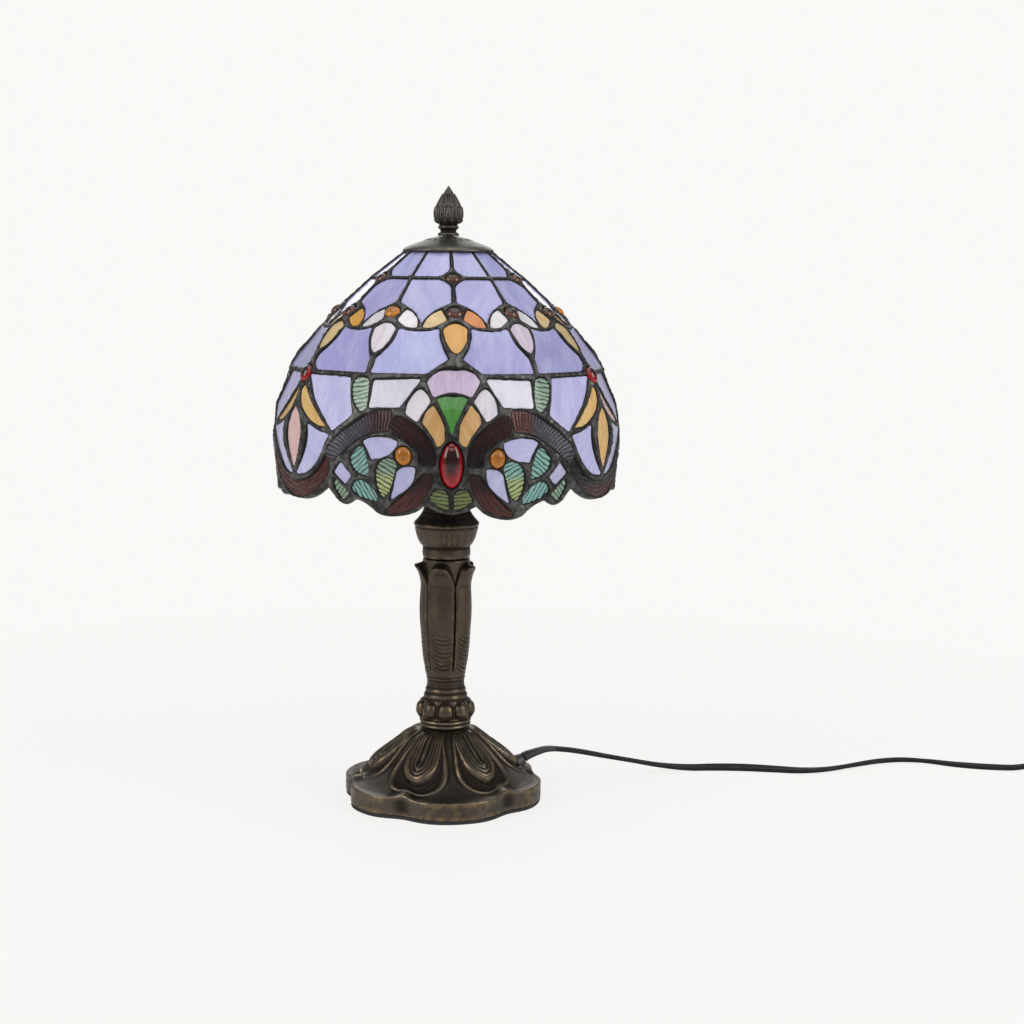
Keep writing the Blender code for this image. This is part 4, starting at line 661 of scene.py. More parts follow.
def new_group(name, inputs, outputs):
    """A node group with named sockets. inputs maps a name to a default."""
    tree = bpy.data.node_groups.new(name, 'ShaderNodeTree')
    for socket, default in inputs.items():
        kind = 'NodeSocketVector' if default is None else 'NodeSocketFloat'
        made = tree.interface.new_socket(socket, in_out='INPUT', socket_type=kind)
        if default is not None:
            made.default_value = default
    for socket in outputs:
        tree.interface.new_socket(socket, in_out='OUTPUT', socket_type='NodeSocketFloat')
    source = tree.nodes.new('NodeGroupInput')
    sink = tree.nodes.new('NodeGroupOutput')
    return tree, source.outputs, sink.inputs


def use_group(tree, group, inputs):
    return add_node(tree, 'ShaderNodeGroup', inputs, node_tree=bpy.data.node_groups[group]).outputs


def build_streaks_group():
    """Opalescent glass: broad milky Haze and fine Threads, stretched along the grain."""
    tree, given, result = new_group("Glass streaks", {
        "Grain": None, "Length": 0.03, "Width": 0.16, "Swirl": 1.2}, ("Haze", "Threads"))
    parts = add_node(tree, 'ShaderNodeSeparateXYZ', {0: given["Grain"]}).outputs
    along = maths(tree, 'MULTIPLY', parts[0], given["Length"])
    across = maths(tree, 'MULTIPLY', parts[1], given["Width"])
    place = add_node(tree, 'ShaderNodeCombineXYZ', {0: along, 1: across, 2: parts[2]}).outputs[0]
    broad = noise(tree, place, 1.0, 3.0, 0.55, given["Swirl"])
    fine = noise(tree, place, 4.5, 2.0, 0.5, 0.8)
    tree.links.new(remapped(tree, broad, 0.33, 0.68), result["Haze"])
    tree.links.new(remapped(tree, fine, 0.36, 0.66), result["Threads"])


def build_wear_group():
    """Cast metal: Bright where it is rubbed, cloudy Stain, and Grain, its skin's height."""
    tree, given, result = new_group("Cast metal", {
        "Place": None, "Rub": 0.0, "Amount": 0.5, "Skin": 700.0}, ("Bright", "Stain", "Grain"))
    cloud = noise(tree, given["Place"], 55.0, 4.0, 0.6, 0.6)
    patch = noise(tree, given["Place"], 240.0, 3.0, 0.6)
    skin = noise(tree, given["Place"], given["Skin"], 3.0, 0.6)
    worn = maths(tree, 'MULTIPLY', given["Rub"], given["Amount"])
    worn = maths(tree, 'ADD', worn, maths(tree, 'MULTIPLY_ADD', patch, 0.9, -0.45))
    worn = maths(tree, 'ADD', worn, maths(tree, 'MULTIPLY_ADD', cloud, 0.5, -0.25))
    tree.links.new(remapped(tree, worn, 0.22, 0.62), result["Bright"])
    tree.links.new(remapped(tree, cloud, 0.35, 0.65), result["Stain"])
    tree.links.new(skin, result["Grain"])


def new_material(name, **values):
    """A material with one Principled BSDF, with values set on its sockets."""
    material = bpy.data.materials.new(name)
    material.use_nodes = True
    tree = material.node_tree
    shader = tree.nodes["Principled BSDF"]
    for socket, value in values.items():
        shader.inputs[socket.replace("_", " ")].default_value = value
    return material, tree, shader.inputs


def finish(tree, sockets, colour, rough=None, height=None, depth=0.0):
    """Links the colour, the roughness and a bump, whose depth is in millimetres."""
    tree.links.new(colour, sockets['Base Color'])
    if rough is not None:
        tree.links.new(rough, sockets['Roughness'])
    if height is not None:
        bump = add_node(tree, 'ShaderNodeBump', {'Height': height, 'Distance': depth * MM})
        tree.links.new(bump.outputs[0], sockets['Normal'])


GLASS_LOOKS = {
    # kind: streak length and width, how milky, how dark the threads, ripples in mm, roughness
    "ground": (0.022, 0.065, 0.55, 0.26, 0.07, 0.26),
    "petal": (0.022, 0.110, 0.45, 0.38, 0.07, 0.26),
    "leaf": (0.140, 0.420, 0.55, 0.60, 0.16, 0.20),
    "bark": (0.050, 0.500, 0.06, 0.70, 0.30, 0.16),
    "ribbed": (0.300, 0.160, 0.45, 0.50, 0.12, 0.22), }


def glass_material(kind):
    """Opalescent sheet glass: milk is a power of 0.6 of the tint, and threads are darker."""
    length, width, milk, threads, ripple, roughness = GLASS_LOOKS[kind]
    material, tree, sockets = new_material(
        kind.capitalize() + " glass", Metallic=0.0, Transmission_Weight=0.0,
        IOR=1.3 if kind in ("bark", "ribbed") else 1.42, Coat_Roughness=0.05,
        Coat_Weight=0.12 if kind in ("bark", "ribbed") else 0.5)
    grain = attribute(tree, "grain", 'Vector')
    tint = attribute(tree, "tint", 'Vector')
    streaks = use_group(tree, "Glass streaks", {"Grain": grain, "Length": length, "Width": width})
    pale = add_node(tree, 'ShaderNodeGamma', {'Color': tint, 'Gamma': 0.6}).outputs[0]
    colour = mix_colour(tree, maths(tree, 'MULTIPLY', streaks["Haze"], milk), tint, pale)
    deep = mix_colour(tree, 1.0, tint, (0.74, 0.66, 0.80), 'MULTIPLY')
    shade = maths(tree, 'MULTIPLY', maths(tree, 'SUBTRACT', 1.0, streaks["Threads"]), threads)
    colour = mix_colour(tree, shade, colour, deep)
    if kind in ("leaf", "bark", "ribbed"):
        # Painted shade darkens the relief's folds; in leaf glass its dark streaks lie there too.
        ink = remapped(tree, attribute(tree, "ink"), 0.25, 0.75)
        strength = 0.93 if kind == "leaf" else 0.80
        colour = mix_colour(tree, maths(tree, 'MULTIPLY', ink, strength), colour, (0.010, 0.009, 0.009))
    waves = noise(tree, grain, 0.22, 2.0, 0.5, 0.5)
    finish(tree, sockets, colour, maths(tree, 'MULTIPLY_ADD', streaks["Haze"], 0.12, roughness - 0.04),
           maths(tree, 'MULTIPLY_ADD', streaks["Threads"], 0.35, waves), ripple)
    return material


def jewel_material(name, colour, middle):
    """Pressed glass jewel with painted light: dark in the middle, bright towards its rim and its foot.
    """
    material, tree, sockets = new_material(
        name, Metallic=0.0, Transmission_Weight=0.0, IOR=1.45, Coat_Weight=0.15,
        Coat_Roughness=0.02, Roughness=0.09)
    place = object_coordinates(tree)
    swirl = noise(tree, place, 150.0, 2.0, 0.5, 1.2)
    light = maths(tree, 'MULTIPLY_ADD', attribute(tree, "low"), 0.55, attribute(tree, "rim"))
    light = maths(tree, 'MULTIPLY_ADD', swirl, 0.7, light)
    blend = mix_colour(tree, remapped(tree, light, 0.45, 1.35), glass_colour(colour, middle),
                       glass_colour(colour))
    finish(tree, sockets, blend, height=noise(tree, place, 300.0, 1.0), depth=0.03)
    return material


def solder_material():
    """Solder under a dark patina, darkest beside the glass, with a few bright specks."""
    material, tree, sockets = new_material("Patinated solder", Metallic=0.85)
    place = object_coordinates(tree)
    ridge = attribute(tree, "rub")
    worn = use_group(tree, "Cast metal", {"Place": place, "Rub": ridge, "Amount": 0.30, "Skin": 900.0})
    speck = remapped(tree, noise(tree, place, 520.0, 3.0, 0.7), 0.62, 0.76)
    bright = maths(tree, 'MULTIPLY', maths(tree, 'MAXIMUM', speck, worn["Bright"]), 0.34)
    face = mix_colour(tree, worn["Stain"], metal_colour("solder"), (0.046, 0.044, 0.041))
    face = mix_colour(tree, bright, face, metal_colour("tin"))
    dark = remapped(tree, ridge, 0.15, 0.85)
    finish(tree, sockets, mix_colour(tree, dark, (0.016, 0.016, 0.015), face),
           remapped(tree, worn["Stain"], 0.0, 1.0, 0.36, 0.50),
           noise(tree, place, 330.0, 3.0, 0.6), 0.22)
    return material


# ==== shade's pieces
def pane_grain(pane, azimuth, drop):
    """Millimetres along and across the streaks of a pane, on its surface laid flat."""
    per_degree = shade_radius(drop) * DEG
    if isinstance(pane.grain, tuple):
        x = (azimuth - pane.grain[0]) * per_degree
        y = pane.grain[1] - drop
        radius = np.hypot(x, y)
        angle = np.arctan2(y, x)
        return angle * radius.mean(), radius
    middle = pane.outline.mean(axis=0)
    x = (azimuth - middle[0]) * per_degree
    y = (middle[1] - drop) * 1.15
    cos, sin = math.cos(pane.grain * DEG), math.sin(pane.grain * DEG)
    return x * cos + y * sin, y * cos - x * sin


STROKE_PITCH = 2.5
RIB_PITCH = 1.9


def glass_relief(glass, along, across):
    """Height of a glass's relief in millimetres, and a darkening that is 1 in its folds, which is
    painted shade there and, in leaf glass, also its dark streaks.

    Leaf glass has uneven strokes along its grain, ribbed glass round ribs across its
    band, and bark glass long folds with no fixed pitch.
    """
    if glass == "leaf":
        wave = np.sin(math.tau * across / STROKE_PITCH + 0.8 * np.sin(0.33 * along + 0.6 * across)
                      + 0.4 * np.sin(0.9 * along - 0.8 * across))
        fine = np.sin(5.1 * across + 1.4 * along) * np.sin(2.3 * along - 1.9 * across)
        return 0.16 * wave + 0.05 * fine, 0.14 - 0.95 * wave + 0.55 * fine
    if glass == "ribbed":
        wave = np.abs(np.sin(math.pi * along / RIB_PITCH + 0.35 * np.sin(0.7 * across + 0.2 * along)))
        return 0.42 * wave ** 0.7, 1.25 - 1.25 * wave
    if glass == "bark":
        fold = (np.sin(2.5 * across + 1.5 * np.sin(0.21 * along))
                + 0.5 * np.sin(0.5 * along + 1.9 * np.sin(1.1 * across))
                + 0.6 * np.sin(4.2 * across - 0.33 * along))
        return 0.15 * fold, 0.35 - 0.40 * fold
    return 0.0 * along, 0.0 * along


PANE_SPACING = {"ground": 1.25, "petal": 1.05, "leaf": 0.62, "bark": 0.68, "ribbed": 0.5}
PANE_TUCK = 0.55  # how far the glass reaches under the solder's edge
CORNER_LIFT = 0.9  # a flat pane's corners stay under the solder


def unfolded_cells(flat):
    """Cells in which no corner, the cross product of its sides, turns the wrong way."""
    corners = [flat[:-1, :-1], flat[1:, :-1], flat[1:, 1:], flat[:-1, 1:]]
    sides = [corners[(k + 1) % 4] - corners[k] for k in range(4)]
    turns = [sides[k][..., 0] * sides[(k + 1) % 4][..., 1]
             - sides[k][..., 1] * sides[(k + 1) % 4][..., 0] for k in range(4)]
    return np.max(turns, axis=0) < 0.01


def pane_plate(pane, flatness):
    """A pane's outer and inner faces, its kept cells, grain, fold darkening and share of other tint.

    Points of its grid past the outline's tuck are drawn back on to it. Then each point
    goes some way towards the pane's plane.
    """
    spacing = PANE_SPACING[pane.glass]
    low, high = pane.outline.min(axis=0), pane.outline.max(axis=0)
    per_degree = shade_radius(high[1]) * DEG
    reach = PANE_TUCK + 1.6 * spacing
    across = int(math.ceil(((high[0] - low[0]) * per_degree + 2 * reach) / spacing))
    down = int(math.ceil(((high[1] - low[1]) * 1.2 + 2 * reach) / spacing))
    azimuth, drop = np.meshgrid(
        np.linspace(low[0] - reach / per_degree, high[0] + reach / per_degree, across + 1),
        np.linspace(max(low[1] - reach, 0.05), high[1] + reach, down + 1))
    flat = np.stack([azimuth.ravel(), drop.ravel()], axis=1)
    gap = distance_to_outline(shade_point(flat[:, 0], flat[:, 1]), flat, pane.outline)
    gap = gap.reshape(azimuth.shape)
    inside = gap < PANE_TUCK
    keep = inside[:-1, :-1] | inside[1:, :-1] | inside[1:, 1:] | inside[:-1, 1:]

    scale = np.stack([shade_radius(drop) * DEG, np.hypot(
        1.0, np.gradient(shade_radius(drop), drop[:, 0], axis=0))], axis=-1).reshape(-1, 2)
    away = (flat[:, None] - pane.outline[None]) * scale[:, None]
    nearest = np.argmin((away ** 2).sum(-1), axis=1)
    away = away[np.arange(len(flat)), nearest]
    share = np.clip(PANE_TUCK / np.hypot(away[:, 0], away[:, 1]), None, 1.0)[:, None]
    drawn = pane.outline[nearest] + share * away / scale
    flat = np.where(inside.reshape(-1, 1), flat, drawn).reshape(azimuth.shape + (2,))
    azimuth, drop = flat[..., 0], np.clip(flat[..., 1], 0.05, None)
    keep &= unfolded_cells(flat)

    along, over = pane_grain(pane, azimuth, drop)
    height, ink = glass_relief(pane.glass, along, over)
    points = shade_point(azimuth, drop, 0.5 * GLASS_THICKNESS + height)
    ring = shade_point(pane.outline[:, 0], pane.outline[:, 1], 0.5 * GLASS_THICKNESS)
    middle = ring.mean(axis=0)
    normal = np.linalg.svd(ring - middle)[2][2]
    normal = normal * np.sign(normal @ (middle * (1.0, 1.0, 0.0)))
    off = np.maximum((points - middle) @ normal - height, -CORNER_LIFT)
    points = points - flatness * off[..., None] * normal
    fade = 0.0 * drop
    if pane.fade is not None:
        fade = soft_step((azimuth, drop)[pane.fade[1]], *pane.fade[2:])
    back = points - GLASS_THICKNESS * normal
    return (points, back), keep, along, over, ink, fade[..., None]


def plate_border(keep):
    """Rows and columns of the border's points, a pair for each side of a kept cell.

    A side lies on the border when the cell across it isn't kept.
    """
    padded = np.pad(keep, 1)
    rows, columns = [], []
    for down, right, first, second in ((0, -1, (0, 0), (1, 0)), (1, 0, (1, 0), (1, 1)),
                                       (0, 1, (1, 1), (0, 1)), (-1, 0, (0, 1), (0, 0))):
        across = padded[1 + down:, 1 + right:][:keep.shape[0], :keep.shape[1]]
        row, column = np.nonzero(keep & ~across)
        rows.append(np.stack([row + first[0], row + second[0]], axis=1))
        columns.append(np.stack([column + first[1], column + second[1]], axis=1))
    return np.concatenate(rows).ravel(), np.concatenate(columns).ravel()


def pane_placings(middle):
    """Turn, mirroring and colour number of each copy of a pane around the shade."""
    for third in range(3):
        turn = 120.0 * third + SHADE_TURN
        if middle is not None:
            yield turn, False, third
        else:
            yield turn, False, 2 * third
            yield turn, True, 2 * third + 1


def add_glass(name, panes, material, nodes, seed):
    """All copies of some panes as one piece, with outer and inner faces and rims."""
    rng = np.random.default_rng(seed)
    sheets = []
    for pane in panes:
        faces, keep, along, over, ink, fade = pane_plate(pane, shape_settings().pane_flatness)
        border = plate_border(keep)
        pairs = (np.arange(len(border[0]) - 1) % 2 == 0)[None]
        other = np.array(glass_colour(pane.fade[0] if pane.fade else pane.colours[0]))
        for turn, mirrored, colour in pane_placings(pane.middle):
            tint = np.array(glass_colour(pane.colours[colour % len(pane.colours)]))
            tint = (1.0 - fade) * tint + fade * other
            tint = tint * rng.uniform(0.92, 1.08) * (1.0 + rng.uniform(-0.04, 0.04, 3))
            offset = rng.uniform(0.0, 40.0, 3)
            grain = np.stack([along + offset[0], over + offset[1], 0.0 * over + offset[2]], -1)
            outer, inner = (hand_made(turned_about(face, turn, mirrored)) for face in faces)
            layers = {"grain": grain, "ink": ink, "tint": np.broadcast_to(tint, outer.shape)}
            rim = {key: np.stack([value[border]] * 2) for key, value in layers.items()}
            sheets.append(Sheet(outer, keep, flip=mirrored, **layers))
            sheets.append(Sheet(inner, keep, flip=not mirrored, **layers))
            sheets.append(Sheet(np.stack([outer[border], inner[border]]), pairs, flip=mirrored, **rim))
    return add_piece(name, mesh_from_sheets(name, sheets, weld=0.01), material, "shade", nodes)


def squared(wave, power):
    """A wave whose values are pushed outwards by a power below 1, as a square's are."""
    return np.sign(wave) * np.abs(wave) ** power


def ball_grid(rows, columns, power=1.0):
    """A sphere from pole to pole; a power below 1 on its sines squares it to a block."""
    polar, around = np.meshgrid(np.linspace(0.0, math.pi, rows),
                                np.linspace(0.0, math.tau, columns + 1), indexing='ij')
    waves = np.stack([np.sin(polar), np.cos(polar), np.sin(around), np.cos(around)])
    sine, cosine, up, right = squared(waves, power)
    ball = np.stack([sine * right, sine * up, cosine], axis=-1)
    ball[:, -1] = ball[:, 0]
    ball[0], ball[-1] = (0.0, 0.0, 1.0), (0.0, 0.0, -1.0)
    return ball


def add_jewels(name, jewels, material):
    """Domed jewels: (jewel, azimuth it is moved to, mirrored as well) for each kind."""
    sheets = []
    for jewel, about, both in jewels:
        azimuth, drop, half_width, half_height, rise = jewel
        spot = np.array([azimuth + about]), np.array([drop])
        middle = shade_point(*spot, 0.5 * GLASS_THICKNESS - 0.5)[0]
        out = shade_point(*spot, 1.0)[0] - shade_point(*spot, 0.0)[0]
        right = np.array([math.cos(spot[0][0] * DEG), math.sin(spot[0][0] * DEG), 0.0])
        down = np.cross(right, out)
        fine = 2 if half_height > 8.0 else 1
        ball = ball_grid(14 * fine, 28 * fine)
        sizes = (half_width + 0.4, half_height + 0.4, rise + 0.5)
        points = middle + (ball * sizes) @ np.array([right, down, out])
        for third in range(3):
            for mirrored in ((False, True) if both else (False,)):
                placed = turned_about(points, 120.0 * third + SHADE_TURN, mirrored)
                sheets.append(Sheet(hand_made(placed), flip=mirrored, low=ball[..., 1],
                                    rim=np.hypot(ball[..., 0], ball[..., 1]) ** 2))
    return add_piece(name, mesh_from_sheets(name, sheets), material, "shade")


# Pieces of glass: kind of glass, what their panes' names start with, slot, the CAD nodes
# that they replace, and the seed of their colours.
GLASS_PIECES = {
    "crown_glass": ("ground", ("crown",), "lavender_glass",
                    ["crown_pane_%02d" % n for n in range(1, 13)], 11),
    "shoulder_glass": ("ground", ("shoulder", "belt"), "violet_glass",
                       ["shoulder_pane_%02d" % n for n in range(1, 13)], 12),
    "skirt_glass": ("ground", ("frieze", "kite", "lily", "brow", "moon", "diamond"),
                    "lavender_glass", (), 13),
    "petal_glass": ("petal", "", "motif_glass",
                    ("shade_skirt_1", "shade_skirt_3", "shade_skirt_5"), 14),
    "leaf_glass": ("leaf", "", "motif_glass", (), 15),
    "swag_glass": ("bark", "", "swag_glass", ("shade_skirt_2", "shade_skirt_4", "shade_skirt_6"), 16),
    "ribbed_glass": ("ribbed", "", "swag_glass", (), 17), }


class LAMP_OT_shade_glass(bpy.types.Operator):
    """Cut panes of the shade, in their own glasses."""
    bl_idname = "lamp.shade_glass"
    bl_label = "Shade glass"

    def execute(self, context):
        materials = {kind: glass_material(kind) for kind in GLASS_LOOKS}
        panes = shade_panes()
        for name, (glass, starts, slot, nodes, seed) in GLASS_PIECES.items():
            some = [p for p in panes if p.glass == glass and p.name.startswith(starts)]
            add_glass(name, some, materials[glass], nodes, seed)
        return {'FINISHED'}


class LAMP_OT_shade_jewels(bpy.types.Operator):
    """Pressed glass jewels and the red cabochons."""
    bl_idname = "lamp.shade_jewels"
    bl_label = "Shade jewels"

    def execute(self, context):
        add_jewels("ruby_cabochons", ((RUBY_CABOCHON, 0.0, False), (SIDE_JEWEL, 0.0, False)),
                   jewel_material("Ruby jewel", "ruby", 0.04))
        add_jewels("amber_jewels", ((AMBER_JEWEL, 0.0, True), (FLOWER_JEWEL, -30.0, False)),
                   jewel_material("Amber jewel", "honey", 0.55))
        browns = ((CROWN_JEWEL, 0.0), (CROWN_JEWEL, 60.0), (FLOWER_JEWEL, 0.0),
                  (FLOWER_JEWEL, 30.0), (FLOWER_JEWEL, 60.0))
        add_jewels("brown_jewels", [brown + (False,) for brown in browns],
                   jewel_material("Brown jewel", "cocoa", 0.04))
        return {'FINISHED'}


SOLDER_SHOULDER = 1.5  # distance from the glass over which a bead reaches its height
SOLDER_DIVE = 1.75  # how steeply its side goes down behind the glass
BEZEL_RIDGE = 0.55


def solder_half_thickness(gap, jewelled, lumpiness, rough, height, edge):
    """Half of the solder's thickness, from the distance to the nearest glass.

    It is half the glass, plus the bead's height times 1 - (1 - gap / shoulder) ** 2.5. Over
    the glass it dives. A jewel has a ridge about it, and the shade's edges are rounded.
    """
    gap = gap + 0.11 * lumpiness - 0.06
    share = np.clip(gap / SOLDER_SHOULDER, 0.0, 1.0)
    rise = height * (1.0 - (1.0 - share) ** 2.5) * (1.0 + 0.16 * rough)
    ridge = BEZEL_RIDGE * np.exp(-((gap - 0.75) / 0.5) ** 2) * jewelled
    half = 0.5 * GLASS_THICKNESS + np.where(gap > 0.0, rise + ridge, SOLDER_DIVE * gap)
    near = np.clip(edge / EDGE_ROUNDING, 0.0, 1.0)
    return np.clip(half, 0.0, None) * np.sqrt(1.0 - (1.0 - near) ** 2)


def facing_normals(outer, sides):
    """Normals of a grid; on its two border columns they lie in the sixth's sides."""
    down, right = np.gradient(outer, axis=0), np.gradient(outer, axis=1)
    normal = np.cross(down, right)
    for column, side in ((0, sides[0]), (-1, sides[1])):
        flat = normal[:, column]
        normal[:, column] = flat - (flat @ side)[:, None] * side
    return unit(normal)


class LAMP_OT_shade_solder(bpy.types.Operator):
    """Solder between the panes, one piece for each sixth of the shade."""
    bl_idname = "lamp.shade_solder"
    bl_label = "Shade solder"

    def execute(self, context):
        azimuth, drop = shade_grid(shape_settings().solder_spacing / MM)
        panes = shade_panes()
        gap, nearest = pane_field(panes, azimuth, drop)
        jewelled = np.isin(nearest, [n for n, p in enumerate(panes) if p.glass == "jewel"])
        edge = np.minimum(hem_drop(azimuth) - drop, drop)
        material = solder_material()
        for sixth in range(6):
            mirrored = sixth % 2 == 1
            turn = 60.0 * (sixth + mirrored)
            around = turn - azimuth if mirrored else turn + azimuth
            lumpy = lumps(around, drop, 31, finest=110, reach=1.0)
            rough = lumps(around, drop, 32, waves=24, finest=200, reach=2.0)
            half = solder_half_thickness(gap, jewelled, lumpy, rough,
                                         shape_settings().solder_height / MM, edge)
            name = "solder_sixth_%d" % (sixth + 1)
            sheets = self.sides(azimuth, drop, half, gap, turn + SHADE_TURN, mirrored)
            mesh = mesh_from_sheets(name, sheets, weld=0.01)
            use_facing(mesh)
            add_piece(name, mesh, material, "shade",
                      ("solder_lattice",) if sixth == 0 else ())
        return {'FINISHED'}

    def sides(self, azimuth, drop, half, gap, turn, mirrored):
        """Outer face, inner face and the two end walls of one sixth."""
        outer, inner = shade_point(azimuth, drop, half), shade_point(azimuth, drop, -half)
        ends = [np.array([math.cos(a * DEG), math.sin(a * DEG), 0.0]) for a in (0.0, SIXTH)]
        out, back = facing_normals(outer, ends), -facing_normals(inner, ends)
        faces = (half[:-1, :-1] + half[1:, :-1] + half[1:, 1:] + half[:-1, 1:]) > 0.0
        rub = np.clip(gap / 1.4, 0.0, 1.0)
        sides = [(outer, out, faces, False, rub), (inner, back, faces, True, rub)]
        for column in (0, -1):
            wall = np.stack([outer[:, column], inner[:, column]], axis=1)
            facing = np.stack([out[:, column], back[:, column]], axis=1)
            keep = (half[:-1, column] + half[1:, column] > 0.0)[:, None]
            sides.append((wall, facing, keep, column == 0, np.zeros(wall.shape[:2])))
        return [Sheet(hand_made(turned_about(points, turn, mirrored)), keep,
                      flip=flipped != mirrored, rub=rub, facing=turned_about(facing, turn, mirrored))
                for points, facing, keep, flipped, rub in sides]


def use_facing(mesh):
    """Turns the mesh's facing attribute into its shading normals."""
    values = np.zeros(3 * len(mesh.vertices), dtype=np.float32)
    mesh.attributes["facing"].data.foreach_get("vector", values)
    mesh.normals_split_custom_set_from_vertices(values.reshape(-1, 3).tolist())
    mesh.attributes.remove(mesh.attributes["facing"])


# ==== cord
def half_extent(turned):
    """Half the height of the flat cord's section when it is turned from lying flat."""
    return np.hypot(0.5 * CORD_WIDTH * np.sin(turned), 0.5 * CORD_THICKNESS * np.cos(turned))


def coil_path():
    """Two layers of a spiral, inwards along the table and outwards on top of it."""
    turns = np.linspace(0.0, 2 * COIL_TURNS, int(2 * COIL_TURNS * 26) + 1)[1:-1]
    inwards = np.clip(turns / (COIL_TURNS - 0.3), 0.0, 1.0)
    outwards = np.clip((turns - COIL_TURNS - 0.3) / (COIL_TURNS - 0.3), 0.0, 1.0)
    radius = COIL_RADII[0] - (COIL_RADII[0] - COIL_RADII[1]) * (inwards - outwards)
    climb = soft_step(turns, COIL_TURNS - 0.3, COIL_TURNS + 0.3)
    angle = (90.0 - 360.0 * turns) * DEG
    return np.stack([COIL_CENTRE[0] + radius * np.cos(angle), COIL_CENTRE[1] + radius * np.sin(angle),
                     COIL_LEVELS[0] + (COIL_LEVELS[1] - COIL_LEVELS[0]) * climb], axis=1)


def cord_path():
    """The cord's middle from the bushing to the plug, in millimetres."""
    first = curve_through(BUSHING_EXIT + ROUTE_TO_SWITCH)
    middle = curve_through(ROUTE_TO_COIL)
    last = curve_through(ROUTE_TO_PLUG)
    last = last[last[:, 0] < COIL_CENTRE[0] - 1.0]
    return np.vstack([first, middle, coil_path(), last])


class LAMP_OT_cord(bpy.types.Operator):
    """Flat two-core cord, from the bushing through the switch and its coil to the plug."""
    bl_idname = "lamp.cord"
    bl_label = "Cord"

    def execute(self, context):
        path = even_spacing(cord_path(), shape_settings().cord_step / MM)
        along = lengths_along(path)
        # The cord lies flat, leans over on the way, and stands on edge from the coil on.
        x = path[:, 0]
        coiled = np.maximum.accumulate(x > 483.0)
        on_edge = np.where(coiled, 1.0, soft_step(x, 441.0, 483.0))
        lean = 0.5 * np.sin(along / 31.0) * np.clip((x - 90.0) / 60.0, 0.0, 1.0)
        lean = lean * np.clip((372.0 - x) / 60.0, 0.0, 1.0)
        turned = np.where(on_edge > 0.0, on_edge * 0.5 * math.pi, lean)
        path[:, 2] = np.maximum(path[:, 2], half_extent(turned) + 0.3)
        piece = add_closed(
            "cord", [flat_cord(path, turned)], cord_material(), "root",
            ("cord_to_switch", "cord_to_coil", "cord_coil", "cord_to_plug"), weld=0.0002)
        return {'FINISHED'}


def flat_cord(path, turned):
    """Sweep of a two-core section: two circles side by side, with a groove between."""
    phase = np.linspace(0.0, math.tau, 25)
    phase[-1] = 0.0
    wide = 0.5 * CORD_WIDTH * np.cos(phase)
    core = 0.25 * CORD_WIDTH
    from_core = np.clip(np.abs(np.abs(wide) - core) / core, 0.0, 1.0)
    high = 0.5 * CORD_THICKNESS * np.sqrt(np.clip(1.0 - from_core ** 2, 0.0, 1.0))
    high = np.maximum(high, 0.36 * CORD_THICKNESS * (np.abs(wide) < core)) * np.sign(np.sin(phase))
    high[[0, 12, 24]] = 0.0
    tangent = unit(np.gradient(path, axis=0))
    side = unit(np.cross(tangent, (0.0, 0.0, 1.0)))
    up = np.cross(side, tangent)
    cos, sin = np.cos(turned)[:, None], np.sin(turned)[:, None]
    width_way, height_way = side * cos + up * sin, up * cos - side * sin
    points = with_ends(path, path[:, None] + width_way[:, None] * wide[:, None]
                       + height_way[:, None] * high[:, None])
    along = np.pad(lengths_along(path), 1, mode='edge')[:, None]
    run = np.stack(np.broadcast_arrays(along, wide, high), axis=-1)
    return Sheet(points, grain=run)


def cord_material():
    """Soft black vinyl with faint die lines along it."""
    material, tree, sockets = new_material("Cord vinyl", Metallic=0.0, IOR=1.3)
    grain = attribute(tree, "grain", 'Vector')
    streaks = use_group(tree, "Glass streaks", {"Grain": grain, "Length": 0.02, "Width": 2.0})
    colour = mix_colour(tree, streaks["Haze"], metal_colour("vinyl"), (0.012, 0.012, 0.013))
    finish(tree, sockets, colour, remapped(tree, streaks["Threads"], 0.0, 1.0, 0.42, 0.54),
           streaks["Threads"], 0.03)
    return material


# ==== cast and turned metal
def grid_normals(points):
    """Outward normals of a round grid whose rows run down and whose columns close."""
    down = np.gradient(points, axis=0)
    right = np.roll(points, -1, axis=1) - np.roll(points, 1, axis=1)
    return unit(np.cross(down, right))


def standing_proud(points, normal, passes=10, full=0.10):
    """How far points stand out of their smoothed surroundings, 1 at full millimetres."""
    calm = points.copy()
    for _ in range(passes):
        calm = 0.5 * calm + 0.25 * (np.roll(calm, 1, axis=1) + np.roll(calm, -1, axis=1))
        calm[1:-1] = 0.5 * calm[1:-1] + 0.25 * (calm[:-2] + calm[2:])
    return np.clip(((points - calm) * normal).sum(-1) / full, -1.0, 1.0)


def round_sheet(radius, height, relief=None, passes=10, full=0.10):
    """Round surface from radii and heights by row and column, with relief along its normal.

    Columns are at equal azimuths, and the first one comes again at the end.
    """
    columns = radius.shape[1]
    azimuth = np.linspace(0.0, 360.0, columns, endpoint=False)[None, :] * DEG
    points = np.stack([radius * np.sin(azimuth), -radius * np.cos(azimuth),
                       height + 0.0 * azimuth], axis=-1)
    normal = grid_normals(points)
    if relief is not None:
        points = points + relief[..., None] * normal
    rub = standing_proud(points, normal, passes, full)
    return Sheet(np.concatenate([points, points[:, :1]], axis=1),
                 rub=np.concatenate([rub, rub[:, :1]], axis=1))


def column_azimuths(columns):
    return np.linspace(0.0, 360.0, columns, endpoint=False)[None, :]


def turned_grid(points, step, columns=1, smooth=False):
    """Radii, heights and azimuths of a turned profile, with its corners unless smooth."""
    line = even_spacing(curve_through(points) if smooth else np.array(points, float), step)
    azimuth = column_azimuths(columns)
    return line[:, :1] + 0.0 * azimuth, line[:, 1:], azimuth


